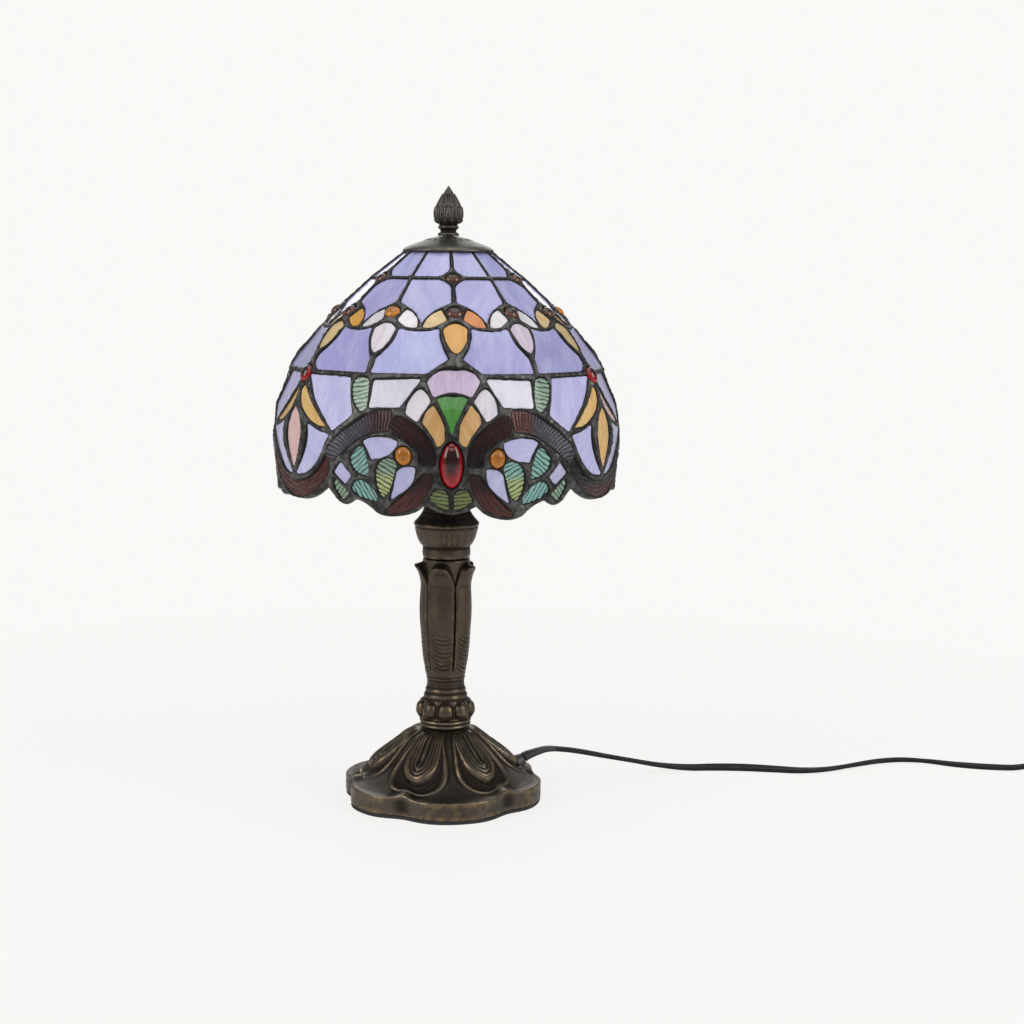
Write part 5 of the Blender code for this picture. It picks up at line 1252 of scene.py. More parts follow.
def add_turned(name, line, foot, material, body, nodes, step=0.5, relief=None,
               smooth=False):
    """A closed turned piece that stands on a height, with relief from its height."""
    radius, height, azimuth = turned_grid(line, step, 96, smooth)
    bumps = relief(height, azimuth) if relief else None
    sheet = round_sheet(radius, foot + height, bumps, passes=4)
    add_closed(name, [sheet], material, body, nodes)


def add_bored(name, outer, material, body, node):
    """A casting of bronze with a plain bore between its first and last row."""
    bore = Sheet(np.stack([outer.points[-1], outer.points[0]]),
                 rub=np.full((2, outer.points.shape[1]), -0.5))
    add_closed(name, [outer, bore], material, body, (node,))


def from_middle(azimuth, first, count):
    """Degrees from the middle of the nearest of count equal sectors, the first at first."""
    pitch = 360.0 / count
    return (azimuth - first + 0.5 * pitch) % pitch - 0.5 * pitch


def soft_step(value, low, high):
    share = np.clip((value - low) / (high - low), 0.0, 1.0)
    return share * share * (3.0 - 2.0 * share)


def bell(value, middle, width):
    return np.exp(-((value - middle) / width) ** 2)


def bronze_material(name, rubbed, face="bronze_face"):
    """Cast bronze: dark patina in the hollows, painted shade in the cap's vents, brown faces, and
    rubbed golden edges.
    """
    material, tree, sockets = new_material(name, Metallic=0.92, IOR=1.5)
    place = object_coordinates(tree)
    proud = attribute(tree, "rub")
    cast = use_group(tree, "Cast metal", {"Place": place, "Rub": proud, "Amount": rubbed})
    hollow = remapped(tree, proud, -0.05, -0.75)
    faces = mix_colour(tree, cast["Stain"], metal_colour(face), metal_colour(face, 0.62))
    dark = mix_colour(tree, hollow, faces, metal_colour("bronze"))
    colour = mix_colour(tree, maths(tree, 'MULTIPLY', cast["Bright"], 0.62), dark,
                        metal_colour("rubbed"))
    rough = remapped(tree, cast["Bright"], 0.0, 1.0, 0.40, 0.27)
    finish(tree, sockets, colour, maths(tree, 'MULTIPLY_ADD', hollow, 0.18, rough), cast["Grain"], 0.05)
    return material


# ---- base
BASE_LOBES = 6
BASE_COLUMNS = 400  # of its mesh
LOBE_AZIMUTH = 9.0
LEAF_AZIMUTH = 38.0
BASE_RADIUS = 56.8
LOBE_DEPTH = 2.6
NOTCH_RISE = 2.2  # how much higher the rim stands where two lobes meet
RIM_SHIFT = -1.3  # the casting's foot sits a little beside its neck
NECK_RADIUS = 13.6
RIM_TOP = 12.6
RIM_ROUNDING = 1.5
PIPE_BORE = 5.5
NECK_RINGS = ((5.5, 48.5), (14, 48.5), (15, 48.2), (15.4, 47.4), (15, 46.5), (14.2, 46.1),
    (14.9, 45.5), (15.1, 44.6), (14.6, 43.8), (13.7, 43.3), (13.1, 42.4), (13.6, 41.5))
DOME_LINE = ((13.6, 41.5), (14.8, 41.7), (17.4, 41.4), (22.3, 38.7), (28.9, 32.6), (35.8, 25.6),
    (42, 19.8), (47.5, 15.6), (51.6, 13.4), (55.7, 12.6))


def lobe_wave(azimuth):
    """How far the lobes push the rim out, less a bell at each notch, and that bell."""
    uneven = azimuth - 5.0 * np.sin(2.0 * (azimuth - LOBE_AZIMUTH) * DEG)
    side = 1.0 - np.abs(from_middle(uneven, LOBE_AZIMUTH, BASE_LOBES)) / 30.0
    return LOBE_DEPTH * (1.0 - 2.0 * bell(side, 0.0, 0.42)), bell(side, 0.0, 0.17)


def base_leaf_relief(share, azimuth):
    """Relief of the base's dome, from its share of the way out and its azimuth.

    A leaf is a pad with nested loops, where its width and length make a set share of its
    reach. A petal with a thin raised outline lies about it.
    """
    side = np.abs(from_middle(azimuth, LEAF_AZIMUTH, BASE_LOBES))
    half_width = 21.5 * (1.0 - 0.42 * (share / 0.78) ** 2)
    length = np.clip((share - 0.46) / 0.31, 0.0, None)
    leaf = ((side / half_width) ** 1.8 + length ** 1.8) ** (1.0 / 1.8)
    tip = soft_step(share, 0.25, 0.72)
    pad = (0.25 + 3.1 * tip) * soft_step(leaf, 1.04, 0.88)
    loops = sum(height * bell(leaf, at, 0.055) for at, height in
                ((0.90, 0.5), (0.72, 0.75), (0.54, 0.8), (0.36, 0.7)))
    spine = 0.7 * bell(side, 0.0, 1.6) * soft_step(share, 0.68, 0.5)
    carved = (loops + spine) * soft_step(share, 0.03, 0.16) * soft_step(leaf, 1.12, 1.0)
    cup = -0.8 * soft_step(leaf, 0.26, 0.05) * soft_step(share, 0.35, 0.5)
    petal_width = 22.0 + 3.0 * soft_step(share, 0.1, 0.5)
    petal = np.hypot(side / petal_width, np.clip((share - 0.52) / 0.37, 0.0, None))
    outline = 0.65 * bell(petal, 0.97, 0.032) * soft_step(share, 0.03, 0.16)
    dished = -0.8 * soft_step(petal, 0.97, 0.80) * soft_step(leaf, 0.9, 1.1)
    channel = -0.8 * soft_step(petal, 1.0, 1.08) * soft_step(share, 0.80, 0.5)
    return pad + carved + cup + outline + dished + channel * soft_step(share, 0.0, 0.1)


def base_outer(columns):
    """The base from its neck over the dome and the rim to its underside."""
    azimuth = column_azimuths(columns)
    wave, notch = lobe_wave(azimuth)
    neck_radius, neck_height, _ = turned_grid(NECK_RINGS, 0.4, smooth=True)
    dome_radius, dome_height, _ = turned_grid(DOME_LINE, 0.5, smooth=True)
    dome_radius, dome_height = dome_radius[1:], dome_height[1:]
    share = (dome_radius - NECK_RADIUS) / (BASE_RADIUS - RIM_ROUNDING - NECK_RADIUS)
    rim = ((0.0, 0.0), (0.9, -0.10), (1.3, -0.35), (1.46, -0.7), (1.5, -1.2), (1.5, -9.6),
           (1.2, -10.4), (0.6, -10.8), (-3.0, -10.8))
    rim = even_spacing(np.array(rim), 0.5)[1:]
    rise = NOTCH_RISE * notch
    radius = np.concatenate([
        neck_radius + 0.0 * wave, dome_radius + share * wave,
        BASE_RADIUS - RIM_ROUNDING + rim[:, :1] + wave])
    height = np.concatenate([
        neck_height + 0.0 * wave, dome_height + rise * soft_step(share, 0.62, 1.0),
        RIM_TOP + rim[:, 1:] + rise * np.clip(1.0 + rim[:, 1:] / 9.6, 0.0, 1.0)])
    relief = np.concatenate([
        0.0 * neck_radius + 0.0 * azimuth, base_leaf_relief(share, azimuth),
        0.10 * np.sin(7.0 * azimuth * DEG) + 0.0 * rim[:, :1]])
    return radius, height, relief


def off_centre(sheet):
    """Slides a sheet's points sideways by the casting's shift, but not near its neck."""
    away = soft_step(np.hypot(sheet.points[..., 0], sheet.points[..., 1]), 14.0, 22.0)
    sheet.points[..., 0] += RIM_SHIFT * away
    return sheet


class LAMP_OT_base(bpy.types.Operator):
    """Cast base with six lobes, acanthus leaves and a rubbed rim, on a rubber pad."""
    bl_idname = "lamp.base"
    bl_label = "Base"

    def execute(self, context):
        outer = round_sheet(*base_outer(BASE_COLUMNS), passes=14, full=0.16)
        wave = lobe_wave(column_azimuths(BASE_COLUMNS))[0]
        inside = np.array(((BASE_RADIUS - 3.0 - RIM_ROUNDING, 1.8, 1), (50.6, 6, 1),
                           (48, 9, 0.9), (38, 11, 0.5), (28, 18.5, 0.2),
                           (19, 31, 0), (13.4, 37.5, 0), (9.5, 39.5, 0),
                           (PIPE_BORE, 39.5, 0), (PIPE_BORE, 48.5, 0)))
        inside = even_spacing(inside, 2.0)
        hollow = round_sheet(inside[:, :1] + inside[:, 2:] * wave,
                             inside[:, 1:2] + 0.0 * wave, passes=1)
        hollow.layers["rub"][:] = -0.4
        hollow.points[0] = outer.points[-1]
        hollow.points[-1] = outer.points[0]
        # The foot's faces take the lighter bronze, which is painted light for what comes down through
        # the shade's glass.
        add_closed("base_casting", [off_centre(outer), off_centre(hollow)],
                   bronze_material("Base bronze", 0.36, "bronze_base_painted_light"), "root",
                   ("base",))
        rim = np.array(((0, 1.8), (BASE_RADIUS - 1.5, 1.8), (BASE_RADIUS - 0.4, 1.7),
                        (BASE_RADIUS - 0.2, 0.9), (BASE_RADIUS - 0.5, 0.1), (0, 0)))
        pad = round_sheet(rim[:, :1] + (rim[:, :1] > 1.0) * wave, rim[:, 1:] + 0.0 * wave, passes=0)
        add_closed("foot_pad", [off_centre(pad)],
                   moulded_material("Pad rubber", "rubber", 0.6), "root", ("base_pad",))
        return {'FINISHED'}


# ---- column
Z_COLUMN = frame_box("column")[0][2]
SHEATH_LEAVES = 5
SHEATH_AZIMUTH = -14.0
EGGS = 9
EGG_AZIMUTH = 0.0
COLUMN_LINE = ((5.5, 95.8), (13.6, 95.8), (13.9, 95.1), (13.7, 92.6), (13.4, 88), (13.5, 80),
    (14.2, 74), (14.7, 66), (14.7, 60), (14.4, 53), (14, 43.5), (13.1, 35.2), (12.2, 30.8),
    (11.8, 27.4), (11.6, 25.6), (11.1, 25), (11.6, 24.2), (11.1, 23.4), (11, 20.8), (11.3, 18.4),
    (12, 17.4), (12.1, 16.6), (11.8, 15.9), (12.4, 14.6), (13, 13.8), (13, 12.9), (12.8, 12.3),
    (13.4, 11.2), (14, 9.8), (14.4, 8), (14.6, 5), (14.9, 2.2), (15.6, 0.8), (15.8, 0.1),
    (5.5, 0.1))


def sheath_relief(height, azimuth):
    """Relief of the five leaves that wrap the column, above its own profile.

    A leaf's edge falls with a power of the distance from its middle and is beaded. Its tip
    bends outwards, a channel parts two leaves, and bowed ripples cross their lower ends.
    """
    half = 180.0 / SHEATH_LEAVES
    side = from_middle(azimuth, SHEATH_AZIMUTH, SHEATH_LEAVES)
    share = np.abs(side) / half
    edge = 93.6 - 15.0 * share ** 2.6
    inside = soft_step(edge - height, -0.3, 1.2) * soft_step(height, 24.8, 27.6)
    thick = soft_step(height, 40.0, 88.0)
    flare = 5.0 * np.clip((height - 70.0) / 23.0, 0.0, 1.1) ** 3.4
    flare = flare * soft_step(edge - height, -0.8, 2.4)
    to_edge = np.minimum(edge - height, 18.0 * (1.0 - share))
    bead = 0.45 * bell(to_edge, 0.9, 0.9) * soft_step(height, 28.0, 38.0)
    channel = -1.8 * bell(half - np.abs(side), 0.0, 3.0) * soft_step(height, 28.0, 34.0)
    channel = channel * soft_step(height, 84.0, 74.0)
    crown = -0.6 * share ** 2 + 0.22 * soft_step(np.abs(side + 3.0), 19.0, 10.0) * soft_step(
        height, 46.0, 58.0) * soft_step(height, 84.0, 66.0)
    bows = np.sin(math.tau * (height - 2.2 * (side / 26.0) ** 2 + 0.05 * side) / 2.6)
    bows = 0.09 * bows * soft_step(height, 26.5, 29.0) * soft_step(height, 55.0, 48.0)
    bows = bows * soft_step(share, 0.80, 0.62)
    return inside * (thick + flare + bead + crown + bows + 0.35) + channel


def egg_relief(height, azimuth):
    """Ring of upright eggs, half ellipsoids, with a thin dart between each two."""
    side = from_middle(azimuth, EGG_AZIMUTH, EGGS)
    round_up = (np.abs(side) / 17.8) ** 2.2 + (np.abs(height - 5.3) / 5.0) ** 2.2
    egg = 3.1 * np.sqrt(np.clip(1.0 - round_up, 0.0, None))
    dart = 0.9 * bell(np.abs(side), 20.0, 1.1) * soft_step(height, 11.5, 8.5)
    return egg + dart * soft_step(height, 0.2, 1.2)


class LAMP_OT_column(bpy.types.Operator):
    """Cast column: a sheath of five leaves above rings and a band of eggs."""
    bl_idname = "lamp.column"
    bl_label = "Column"

    def execute(self, context):
        radius, height, azimuth = turned_grid(COLUMN_LINE, 0.55, 330)
        relief = sheath_relief(height, azimuth) + egg_relief(height, azimuth)
        relief = np.where(radius > 11.0, relief, 0.0) * soft_step(height, 0.3, 1.2)
        add_bored("column_casting", round_sheet(radius, Z_COLUMN + height, relief, 8),
                  bronze_material("Column bronze", 0.24), "root", "column")
        return {'FINISHED'}


# ---- socket cup
Z_CUP = frame_box("socket_cup")[0][2]
CUP_LINE = ((5.5, 36), (11.6, 36), (12.8, 35.7), (13.1, 35), (13.3, 29.8), (14.2, 27.1),
    (16.2, 24.1), (18.4, 21.6), (18.9, 21.2), (19.2, 20.4), (19.1, 19.5), (18.5, 18.9), (18.6, 18),
    (18.5, 16.5), (18, 14.6), (17.4, 12.4), (16.6, 10.4), (15.6, 8.6), (14.4, 7.3), (13.9, 6.6),
    (14, 5.6), (14.2, 3.6), (14.1, 1.6), (13.7, 0.4), (13.2, 0.1), (5.5, 0.1))


class LAMP_OT_socket_cup(bpy.types.Operator):
    """Cup under the socket, with a rubbed rim and a fluted bowl."""
    bl_idname = "lamp.socket_cup"
    bl_label = "Socket cup"

    def execute(self, context):
        radius, height, azimuth = turned_grid(CUP_LINE, 0.5, 300)
        bowl = soft_step(height, 7.0, 9.5) * soft_step(height, 18.0, 15.5)
        uneven = 14.0 * azimuth * DEG + 0.9 * np.sin(5.0 * azimuth * DEG)
        flutes = np.abs(np.sin(uneven)) * (0.65 + 0.35 * np.sin(3.0 * azimuth * DEG))
        relief = bowl * (0.30 * flutes - 0.22) * (radius > 12.0)
        add_bored("cup_spinning", round_sheet(radius, Z_CUP + height, relief, 8),
                  bronze_material("Cup bronze", 0.26), "root", "socket_cup")
        return {'FINISHED'}


# ---- vase cap and finial
Z_CAP = frame_box("vase_cap")[1][2]
CAP_LINE = ((3.6, 0), (6.8, 0), (10.5, -0.9), (14.9, -2.5), (19.8, -4.3), (23.9, -5.9),
    (25.4, -6.9), (26.1, -7.5), (26.4, -8.2), (26.1, -8.9), (25.5, -9.2), (24.8, -8.8), (24.6, -8),
    (23.2, -7.2), (19.2, -5.6), (14.4, -3.8), (10, -2.2), (6.5, -1.3), (3.6, -1.3))
CAP_VENTS = 16
VENT_RADIUS = 13.2


class LAMP_OT_vase_cap(bpy.types.Operator):
    """Spun cap over the crown, with a rolled rim and small vents as shallow pits with painted shade."""
    bl_idname = "lamp.vase_cap"
    bl_label = "Vase cap"

    def execute(self, context):
        radius, height, azimuth = turned_grid(CAP_LINE, 0.4, 400)
        side = from_middle(azimuth, 11.0, CAP_VENTS) * DEG * VENT_RADIUS
        top = np.arange(len(radius))[:, None] < 55
        vent = np.hypot(side, radius - VENT_RADIUS)
        relief = (-0.95 * soft_step(vent, 1.05, 0.6) + 0.12 * bell(vent, 1.35, 0.25)) * top
        relief = relief + 0.05 * bell(radius, 21.5, 0.5) * top
        outer = round_sheet(radius, Z_CAP + height, relief, 8)
        # Painted shade: the vents are shallow pits, darkened to stand for the shade inside open holes.
        outer.layers["rub"] = outer.layers["rub"] - 1.2 * np.pad(
            soft_step(vent, 1.15, 0.8) * top, ((0, 0), (0, 1)), mode='wrap')
        add_bored("cap_spinning", outer, bronze_material("Cap pewter", 0.22, "pewter"),
                  "shade", "vase_cap")
        return {'FINISHED'}


Z_FINIAL = frame_box("finial")[0][2]
FINIAL_LINE = ((0, 28.6), (0.6, 28), (1.5, 26.2), (2.7, 23.8), (4.5, 21.2), (6.2, 18.4),
    (7.6, 15.6), (8.1, 13), (8.1, 10.8), (7.5, 8.8), (6.2, 7.2), (5.2, 6.4), (5.4, 5.8), (6, 5.4),
    (6, 4.7), (5.5, 4.1), (4.7, 3.5), (4.5, 2.6), (5.2, 2.1), (6, 1.5), (6.2, 0.8), (6, 0.1),
    (0, 0.1))
SCALES_AROUND = 11
SCALE_LENGTH = 7.0


class LAMP_OT_finial(bpy.types.Operator):
    """Finial: a bud of pointed scales on two bead rings."""
    bl_idname = "lamp.finial"
    bl_label = "Finial"

    def execute(self, context):
        radius, height, azimuth = turned_grid(FINIAL_LINE, 0.28, 264)
        relief = self.scales(radius, height, azimuth)
        add_closed("finial_bud", [round_sheet(radius, Z_FINIAL + height, relief, 6)],
                   bronze_material("Finial pewter", 0.14, "pewter"), "finial",
                   ("finial",))
        return {'FINISHED'}

    def scales(self, radius, height, azimuth):
        """Rows of pointed scales, each row turned by half a scale.

        A scale is highest on its rib, falls off to its sides and sinks at its foot.
        """
        level = (height - 2.6) / SCALE_LENGTH
        row = np.floor(level)
        up = level - row
        across = (azimuth * SCALES_AROUND / 360.0 + 0.5 * row) % 1.0 - 0.5
        reach = 0.5 * np.clip(1.12 - up, 0.0, 1.0) ** 0.7
        side = np.abs(across) / np.maximum(reach, 0.05)
        scale = 0.75 * (0.35 + 0.65 * up) * np.clip(1.0 - side ** 2, 0.0, None)
        rib = 0.32 * bell(across, 0.0, 0.08) + 0.20 * np.abs(np.sin(9.0 * across))
        bud = soft_step(height, 6.4, 8.4) * soft_step(radius, 0.6, 3.0)
        return bud * (scale + rib - 0.15)


# ---- electrical parts
SOCKET_SHELL_LINE = ((14.9, 45), (15.4, 45.3), (16.1, 44.9), (16.25, 44.2), (15.8, 43.5),
    (15.7, 40), (16, 38.6), (16.2, 37.6), (16, 36.6), (15.7, 35.4), (15.7, 21), (16, 20.2),
    (16.25, 19.2), (16, 18.2), (15.7, 17.4), (15.6, 12), (15, 7.4), (13.4, 3.6), (10.4, 1.2),
    (6.2, 0.2), (6.2, 1.2), (9.8, 2.2), (12.6, 4.4), (14.2, 7.9), (14.75, 12), (14.75, 44.2),
    (14.9, 45))
BULB_LINE = ((0, 66.9), (4, 66.55), (9, 65.1), (14, 62.35), (18.5, 58.1), (21.8, 52.8),
    (23.6, 46.8), (23.8, 41), (22.6, 35.2), (20.2, 29.6), (17.3, 24.2), (15, 18.6), (13.4, 12.4),
    (12.5, 6), (12.3, 0.3), (0, 0.3))
BULB_CAP_LINE = ((0, 28.5), (12, 28.5), (12.4, 28.2), (12.45, 5.5), (11.6, 4.2), (7.2, 1.9),
    (4.4, 1.5), (4.2, 0.6), (2.8, 0.1), (0, 0))
HARP_WIRE = 1.9
HARP_SIDE = ((24, 0.2), (24, 12), (24, 26), (24.8, 35), (29, 46), (34.5, 56), (37.4, 63))
SCREW_PITCH = 3.6
STUD_PITCH = 0.8
STUD_LENGTH = 15.0


def swept_tube(path, wide, high, sides=20):
    """Oval bar along a path in a plane, whose normal is the wide way of its ellipses."""
    plane = unit(np.cross(path[len(path) // 3] - path[0], path[-1] - path[0]))
    other = np.cross(unit(np.gradient(path, axis=0)), plane)
    angle = np.linspace(0.0, math.tau, sides + 1)
    wide, high = (np.broadcast_to(size, len(path))[:, None, None] for size in (wide, high))
    ring = (wide * np.cos(angle)[None, :, None] * plane[None, None]
            + high * np.sin(angle)[None, :, None] * other[:, None])
    ring[:, -1] = ring[:, 0]
    return with_ends(path, path[:, None] + ring)


def plated_material(name, colour, roughness):
    """Plated or drawn metal: fine hairlines and a little cloudiness."""
    material, tree, sockets = new_material(name, Metallic=1.0)
    place = object_coordinates(tree)
    cloud = noise(tree, place, 60.0, 3.0)
    fine = noise(tree, place, 1400.0, 2.0)
    shaded = mix_colour(tree, remapped(tree, cloud, 0.35, 0.65), metal_colour(colour),
                        metal_colour(colour, 0.78))
    finish(tree, sockets, shaded, maths(tree, 'MULTIPLY_ADD', fine, 0.12, roughness), fine, 0.01)
    return material


def moulded_material(name, colour, roughness, gloss=0.0):
    """Moulded rubber, plastic or glazed ceramic, with a fine skin."""
    material, tree, sockets = new_material(name, Metallic=0.0, Coat_Weight=gloss)
    place = object_coordinates(tree)
    cloud = noise(tree, place, 90.0, 3.0)
    skin = noise(tree, place, 900.0, 2.0)
    tone = metal_colour(colour)
    shaded = mix_colour(tree, remapped(tree, cloud, 0.3, 0.7), tone,
                        tuple(min(1.25 * c + 0.002, 1.0) for c in tone))
    finish(tree, sockets, shaded, maths(tree, 'MULTIPLY_ADD', skin, 0.16, roughness), skin, 0.02)
    return material


def bulb_material():
    """Soft white bulb: a frosted coat inside clear glass."""
    material, tree, sockets = new_material(
        "Frosted bulb", Metallic=0.0, Transmission_Weight=0.0, IOR=1.5, Coat_Weight=0.6,
        Coat_Roughness=0.04, Subsurface_Weight=0.2, Roughness=0.35)
    frost = noise(tree, object_coordinates(tree), 120.0, 3.0)
    finish(tree, sockets, mix_colour(tree, frost, glass_colour("bulb"), (0.80, 0.80, 0.79)))
    return material


def screw_relief(height, azimuth):
    """Round thread on the bulb's cap, fading at its ends."""
    wave = np.sin(math.tau * (height / SCREW_PITCH - azimuth / 360.0))
    return 0.45 * wave * soft_step(height, 6.0, 9.0) * soft_step(height, 26.5, 24.0)


class LAMP_OT_socket_and_bulb(bpy.types.Operator):
    """Brass socket with its core, and a frosted bulb that turns in it."""
    bl_idname = "lamp.socket_and_bulb"
    bl_label = "Socket and bulb"

    def execute(self, context):
        brass = plated_material("Socket brass", "brass", 0.24)
        add_turned("socket_spinning", SOCKET_SHELL_LINE, frame_box("socket_shell")[0][2] - 0.2,
                   brass, "root", ("socket_shell",))
        add_turned("bulb_envelope", BULB_LINE, frame_box("bulb_glass")[0][2] - 0.3,
                   bulb_material(), "bulb", ("bulb_glass",), step=1.0, smooth=True)
        add_turned("bulb_screw_cap", BULB_CAP_LINE, frame_box("bulb_cap")[0][2],
                   plated_material("Cap brass", "brass", 0.3), "bulb",
                   ("bulb_cap",), relief=screw_relief)
        finish_nodes(moulded_material("Glazed ceramic", "ceramic", 0.25, gloss=0.5),
                     "socket_core")
        return {'FINISHED'}


def finish_nodes(material, *nodes):
    """Gives CAD nodes that keep their own shape a better material."""
    for node in nodes:
        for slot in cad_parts[node].material_slots:
            slot.material = material


class LAMP_OT_harp(bpy.types.Operator):
    """Harp wire with its stud, on the saddle and the two sleeves."""
    bl_idname = "lamp.harp"
    bl_label = "Harp"

    def execute(self, context):
        steel = plated_material("Harp steel", "steel", 0.28)
        low, high = frame_box("harp")
        foot, top = low[2], high[2] - STUD_LENGTH
        arc = np.linspace(0.0, 0.5 * math.pi, 16)
        bend = np.stack([38.0 * np.cos(arc), foot + 68.0 + (top - foot - 68.0) * np.sin(arc)], 1)
        half = np.vstack([curve_through(np.array(HARP_SIDE) + (0.0, foot)), bend])
        half = even_spacing(half, 2.0)
        x, z = np.vstack([half, (half * (-1.0, 1.0))[::-1][1:]]).T
        wire = Sheet(swept_tube(np.stack([x, 0.0 * x, z], axis=1), HARP_WIRE, HARP_WIRE))
        stud = ((0, STUD_LENGTH), (2.5, STUD_LENGTH), (3.05, 14.4), (3.05, 3.2), (6.6, 3.1),
                (7, 2.7), (7, -0.2), (6.5, -0.6), (0, -0.6))
        radius, height, azimuth = turned_grid(stud, 0.3, 64)
        thread = 0.16 * np.sin(math.tau * (height / STUD_PITCH - azimuth / 360.0))
        thread = thread * (height > 4.0) * (height < 14.0) * (radius > 2.0)
        boss = round_sheet(radius, top + height, thread)
        add_closed("harp_wire", [wire, Sheet(boss.points)], steel, "root", ("harp",))
        finish_nodes(steel, "harp_saddle", "harp_sleeve_left", "harp_sleeve_right",
                     "bottom_nut", "threaded_pipe")
        finish_nodes(plated_material("Washer brass", "brass", 0.3), "shade_washer")
        return {'FINISHED'}


BUSHING_FOOT = (41.42, 15.08, 14.39)
BUSHING_AXIS = (0.8138, 0.2962, 0.5)
BUSHING_LINE = ((0, 7.5), (3, 7.5), (3.4, 7.2), (4.1, 5.4), (4.8, 3.6), (5.1, 2.4), (4.9, 1.6),
    (4.3, 1.2), (4.3, -2.5), (4.4, -6), (0, -6))
RELIEF_LENGTH = 22  # points 1 mm apart


class LAMP_OT_bushing(bpy.types.Operator):
    """Rubber bushing in the base and the tapered strain relief of the cord."""
    bl_idname = "lamp.bushing"
    bl_label = "Bushing"

    def execute(self, context):
        rubber = moulded_material("Black rubber", "rubber", 0.42, gloss=0.15)
        collar = round_sheet(*turned_grid(BUSHING_LINE, 0.35, 48)[:2]).points
        turn = np.array(Vector(BUSHING_AXIS).to_track_quat('Z', 'Y').to_matrix())
        add_closed("bushing_collar", [Sheet(collar @ turn.T + np.array(BUSHING_FOOT))], rubber,
                   "root", ("cord_bushing",))
        path = even_spacing(curve_through(BUSHING_EXIT + ROUTE_TO_SWITCH), 1.0)[:RELIEF_LENGTH]
        taper = np.linspace(1.0, 0.0, RELIEF_LENGTH) ** 1.6
        tube = swept_tube(path, 3.15 + 0.45 * taper, 1.75 + 1.3 * taper, 24)
        add_closed("strain_relief", [Sheet(tube)], rubber, "root")
        finish_nodes(rubber, "inner_lead")
        return {'FINISHED'}


def rounded_block(low, high, power=0.22, rows=48, columns=96):
    """A block with soft edges, between two corners."""
    return 0.5 * (low + high) + 0.5 * (high - low) * ball_grid(rows, columns, power)


class LAMP_OT_switch(bpy.types.Operator):
    """In-line rocker switch in two moulded halves."""
    bl_idname = "lamp.switch"
    bl_label = "In-line switch"

    def execute(self, context):
        plastic = moulded_material("Switch plastic", "vinyl", 0.36, gloss=0.1)
        for node, power in (("switch_bottom", 0.20), ("switch_top", 0.24)):
            add_closed(node + "_half", [Sheet(rounded_block(*frame_box(node), power))],
                       plastic, "root", (node,))
        finish_nodes(moulded_material("Rocker plastic", "vinyl", 0.22, gloss=0.4),
                     "switch_rocker")
        return {'FINISHED'}


class LAMP_OT_plug(bpy.types.Operator):
    """Moulded plug with grip ribs and two brass blades."""
    bl_idname = "lamp.plug"
    bl_label = "Plug"

    def execute(self, context):
        low, high = frame_box("plug_body")
        points = rounded_block(low, high, 0.30, rows=64, columns=120)
        span = (points[..., 0] - low[0]) / (high[0] - low[0])
        middle = 0.5 * (low + high)
        taper = 1.0 - 0.42 * soft_step(span, 0.45, 1.0)
        ribs = 1.0 - 0.035 * (np.sin(math.tau * span * 9.0) > 0.0) * (span > 0.15) * (span < 0.6)
        points[..., 1] = middle[1] + (points[..., 1] - middle[1]) * taper * ribs
        points[..., 2] = middle[2] + (points[..., 2] - middle[2]) * taper
        add_closed("plug_moulding", [Sheet(points)],
                   moulded_material("Plug vinyl", "vinyl", 0.4), "root",
                   ("plug_body",))
        finish_nodes(plated_material("Blade brass", "brass", 0.22),
                     "plug_blade_left", "plug_blade_right")
        return {'FINISHED'}


TIE_WIDTH = 5.2
TIE_ANGLE = 214.0  # degrees round the coil, from +X


class LAMP_OT_coil_tie(bpy.types.Operator):
    """Flat tie that holds the coil of cord together."""
    bl_idname = "lamp.coil_tie"
    bl_label = "Coil tie"

    def execute(self, context):
        around, across = np.meshgrid(np.linspace(0.0, math.tau, 97),
                                     np.linspace(0.0, math.tau, 13), indexing='ij')
        around[-1], across[:, -1] = 0.0, 0.0
        thick = 0.22 * np.sin(across)
        wide, high = 0.5 * (COIL_RADII[0] - COIL_RADII[1]) + 1.8, 5.95
        out = 0.5 * sum(COIL_RADII) + (wide + thick) * squared(np.cos(around), 0.45)
        up = 6.3 + (high + thick) * squared(np.sin(around), 0.45)
        along = 0.5 * TIE_WIDTH * squared(np.cos(across), 0.5)
        points = turned_about(np.stack([out, along, up], axis=-1), TIE_ANGLE)
        points = points + np.array((*COIL_CENTRE, 0.0))
        add_closed("coil_tie", [Sheet(points)], moulded_material("Tie vinyl", "vinyl", 0.5),
                   "root")
        return {'FINISHED'}


# ==== stage
def bright_backdrop(tree, shader, strength=1.0):
    """White for the camera and for rays through glass, a little of it for mirrored rays."""
    path = add_node(tree, 'ShaderNodeLightPath').outputs
    seen = maths(tree, 'MAXIMUM', path['Is Camera Ray'], path['Is Transmission Ray'])
    seen = maths(tree, 'MAXIMUM', seen, maths(tree, 'MULTIPLY', path['Is Glossy Ray'], 0.22))
    white = add_node(tree, 'ShaderNodeEmission', {'Color': (0.955, 0.94, 0.923)})
    share = maths(tree, 'MULTIPLY', seen, strength)
    return add_node(tree, 'ShaderNodeMixShader', {0: share, 1: shader, 2: white.outputs[0]}).outputs[0]


def add_softbox(name, size, place, aim, power):
    """A large area light that faces the lamp's axis at a height."""
    light = bpy.data.lights.new(name, 'AREA')
    light.shape = 'RECTANGLE'
    light.size, light.size_y = size
    light.energy = power
    box = bpy.data.objects.new(name, light)
    box.location = place
    towards = Vector((0.0, 0.0, aim)) - Vector(place)
    box.rotation_euler = towards.to_track_quat('-Z', 'Y').to_euler()
    bpy.context.scene.collection.objects.link(box)


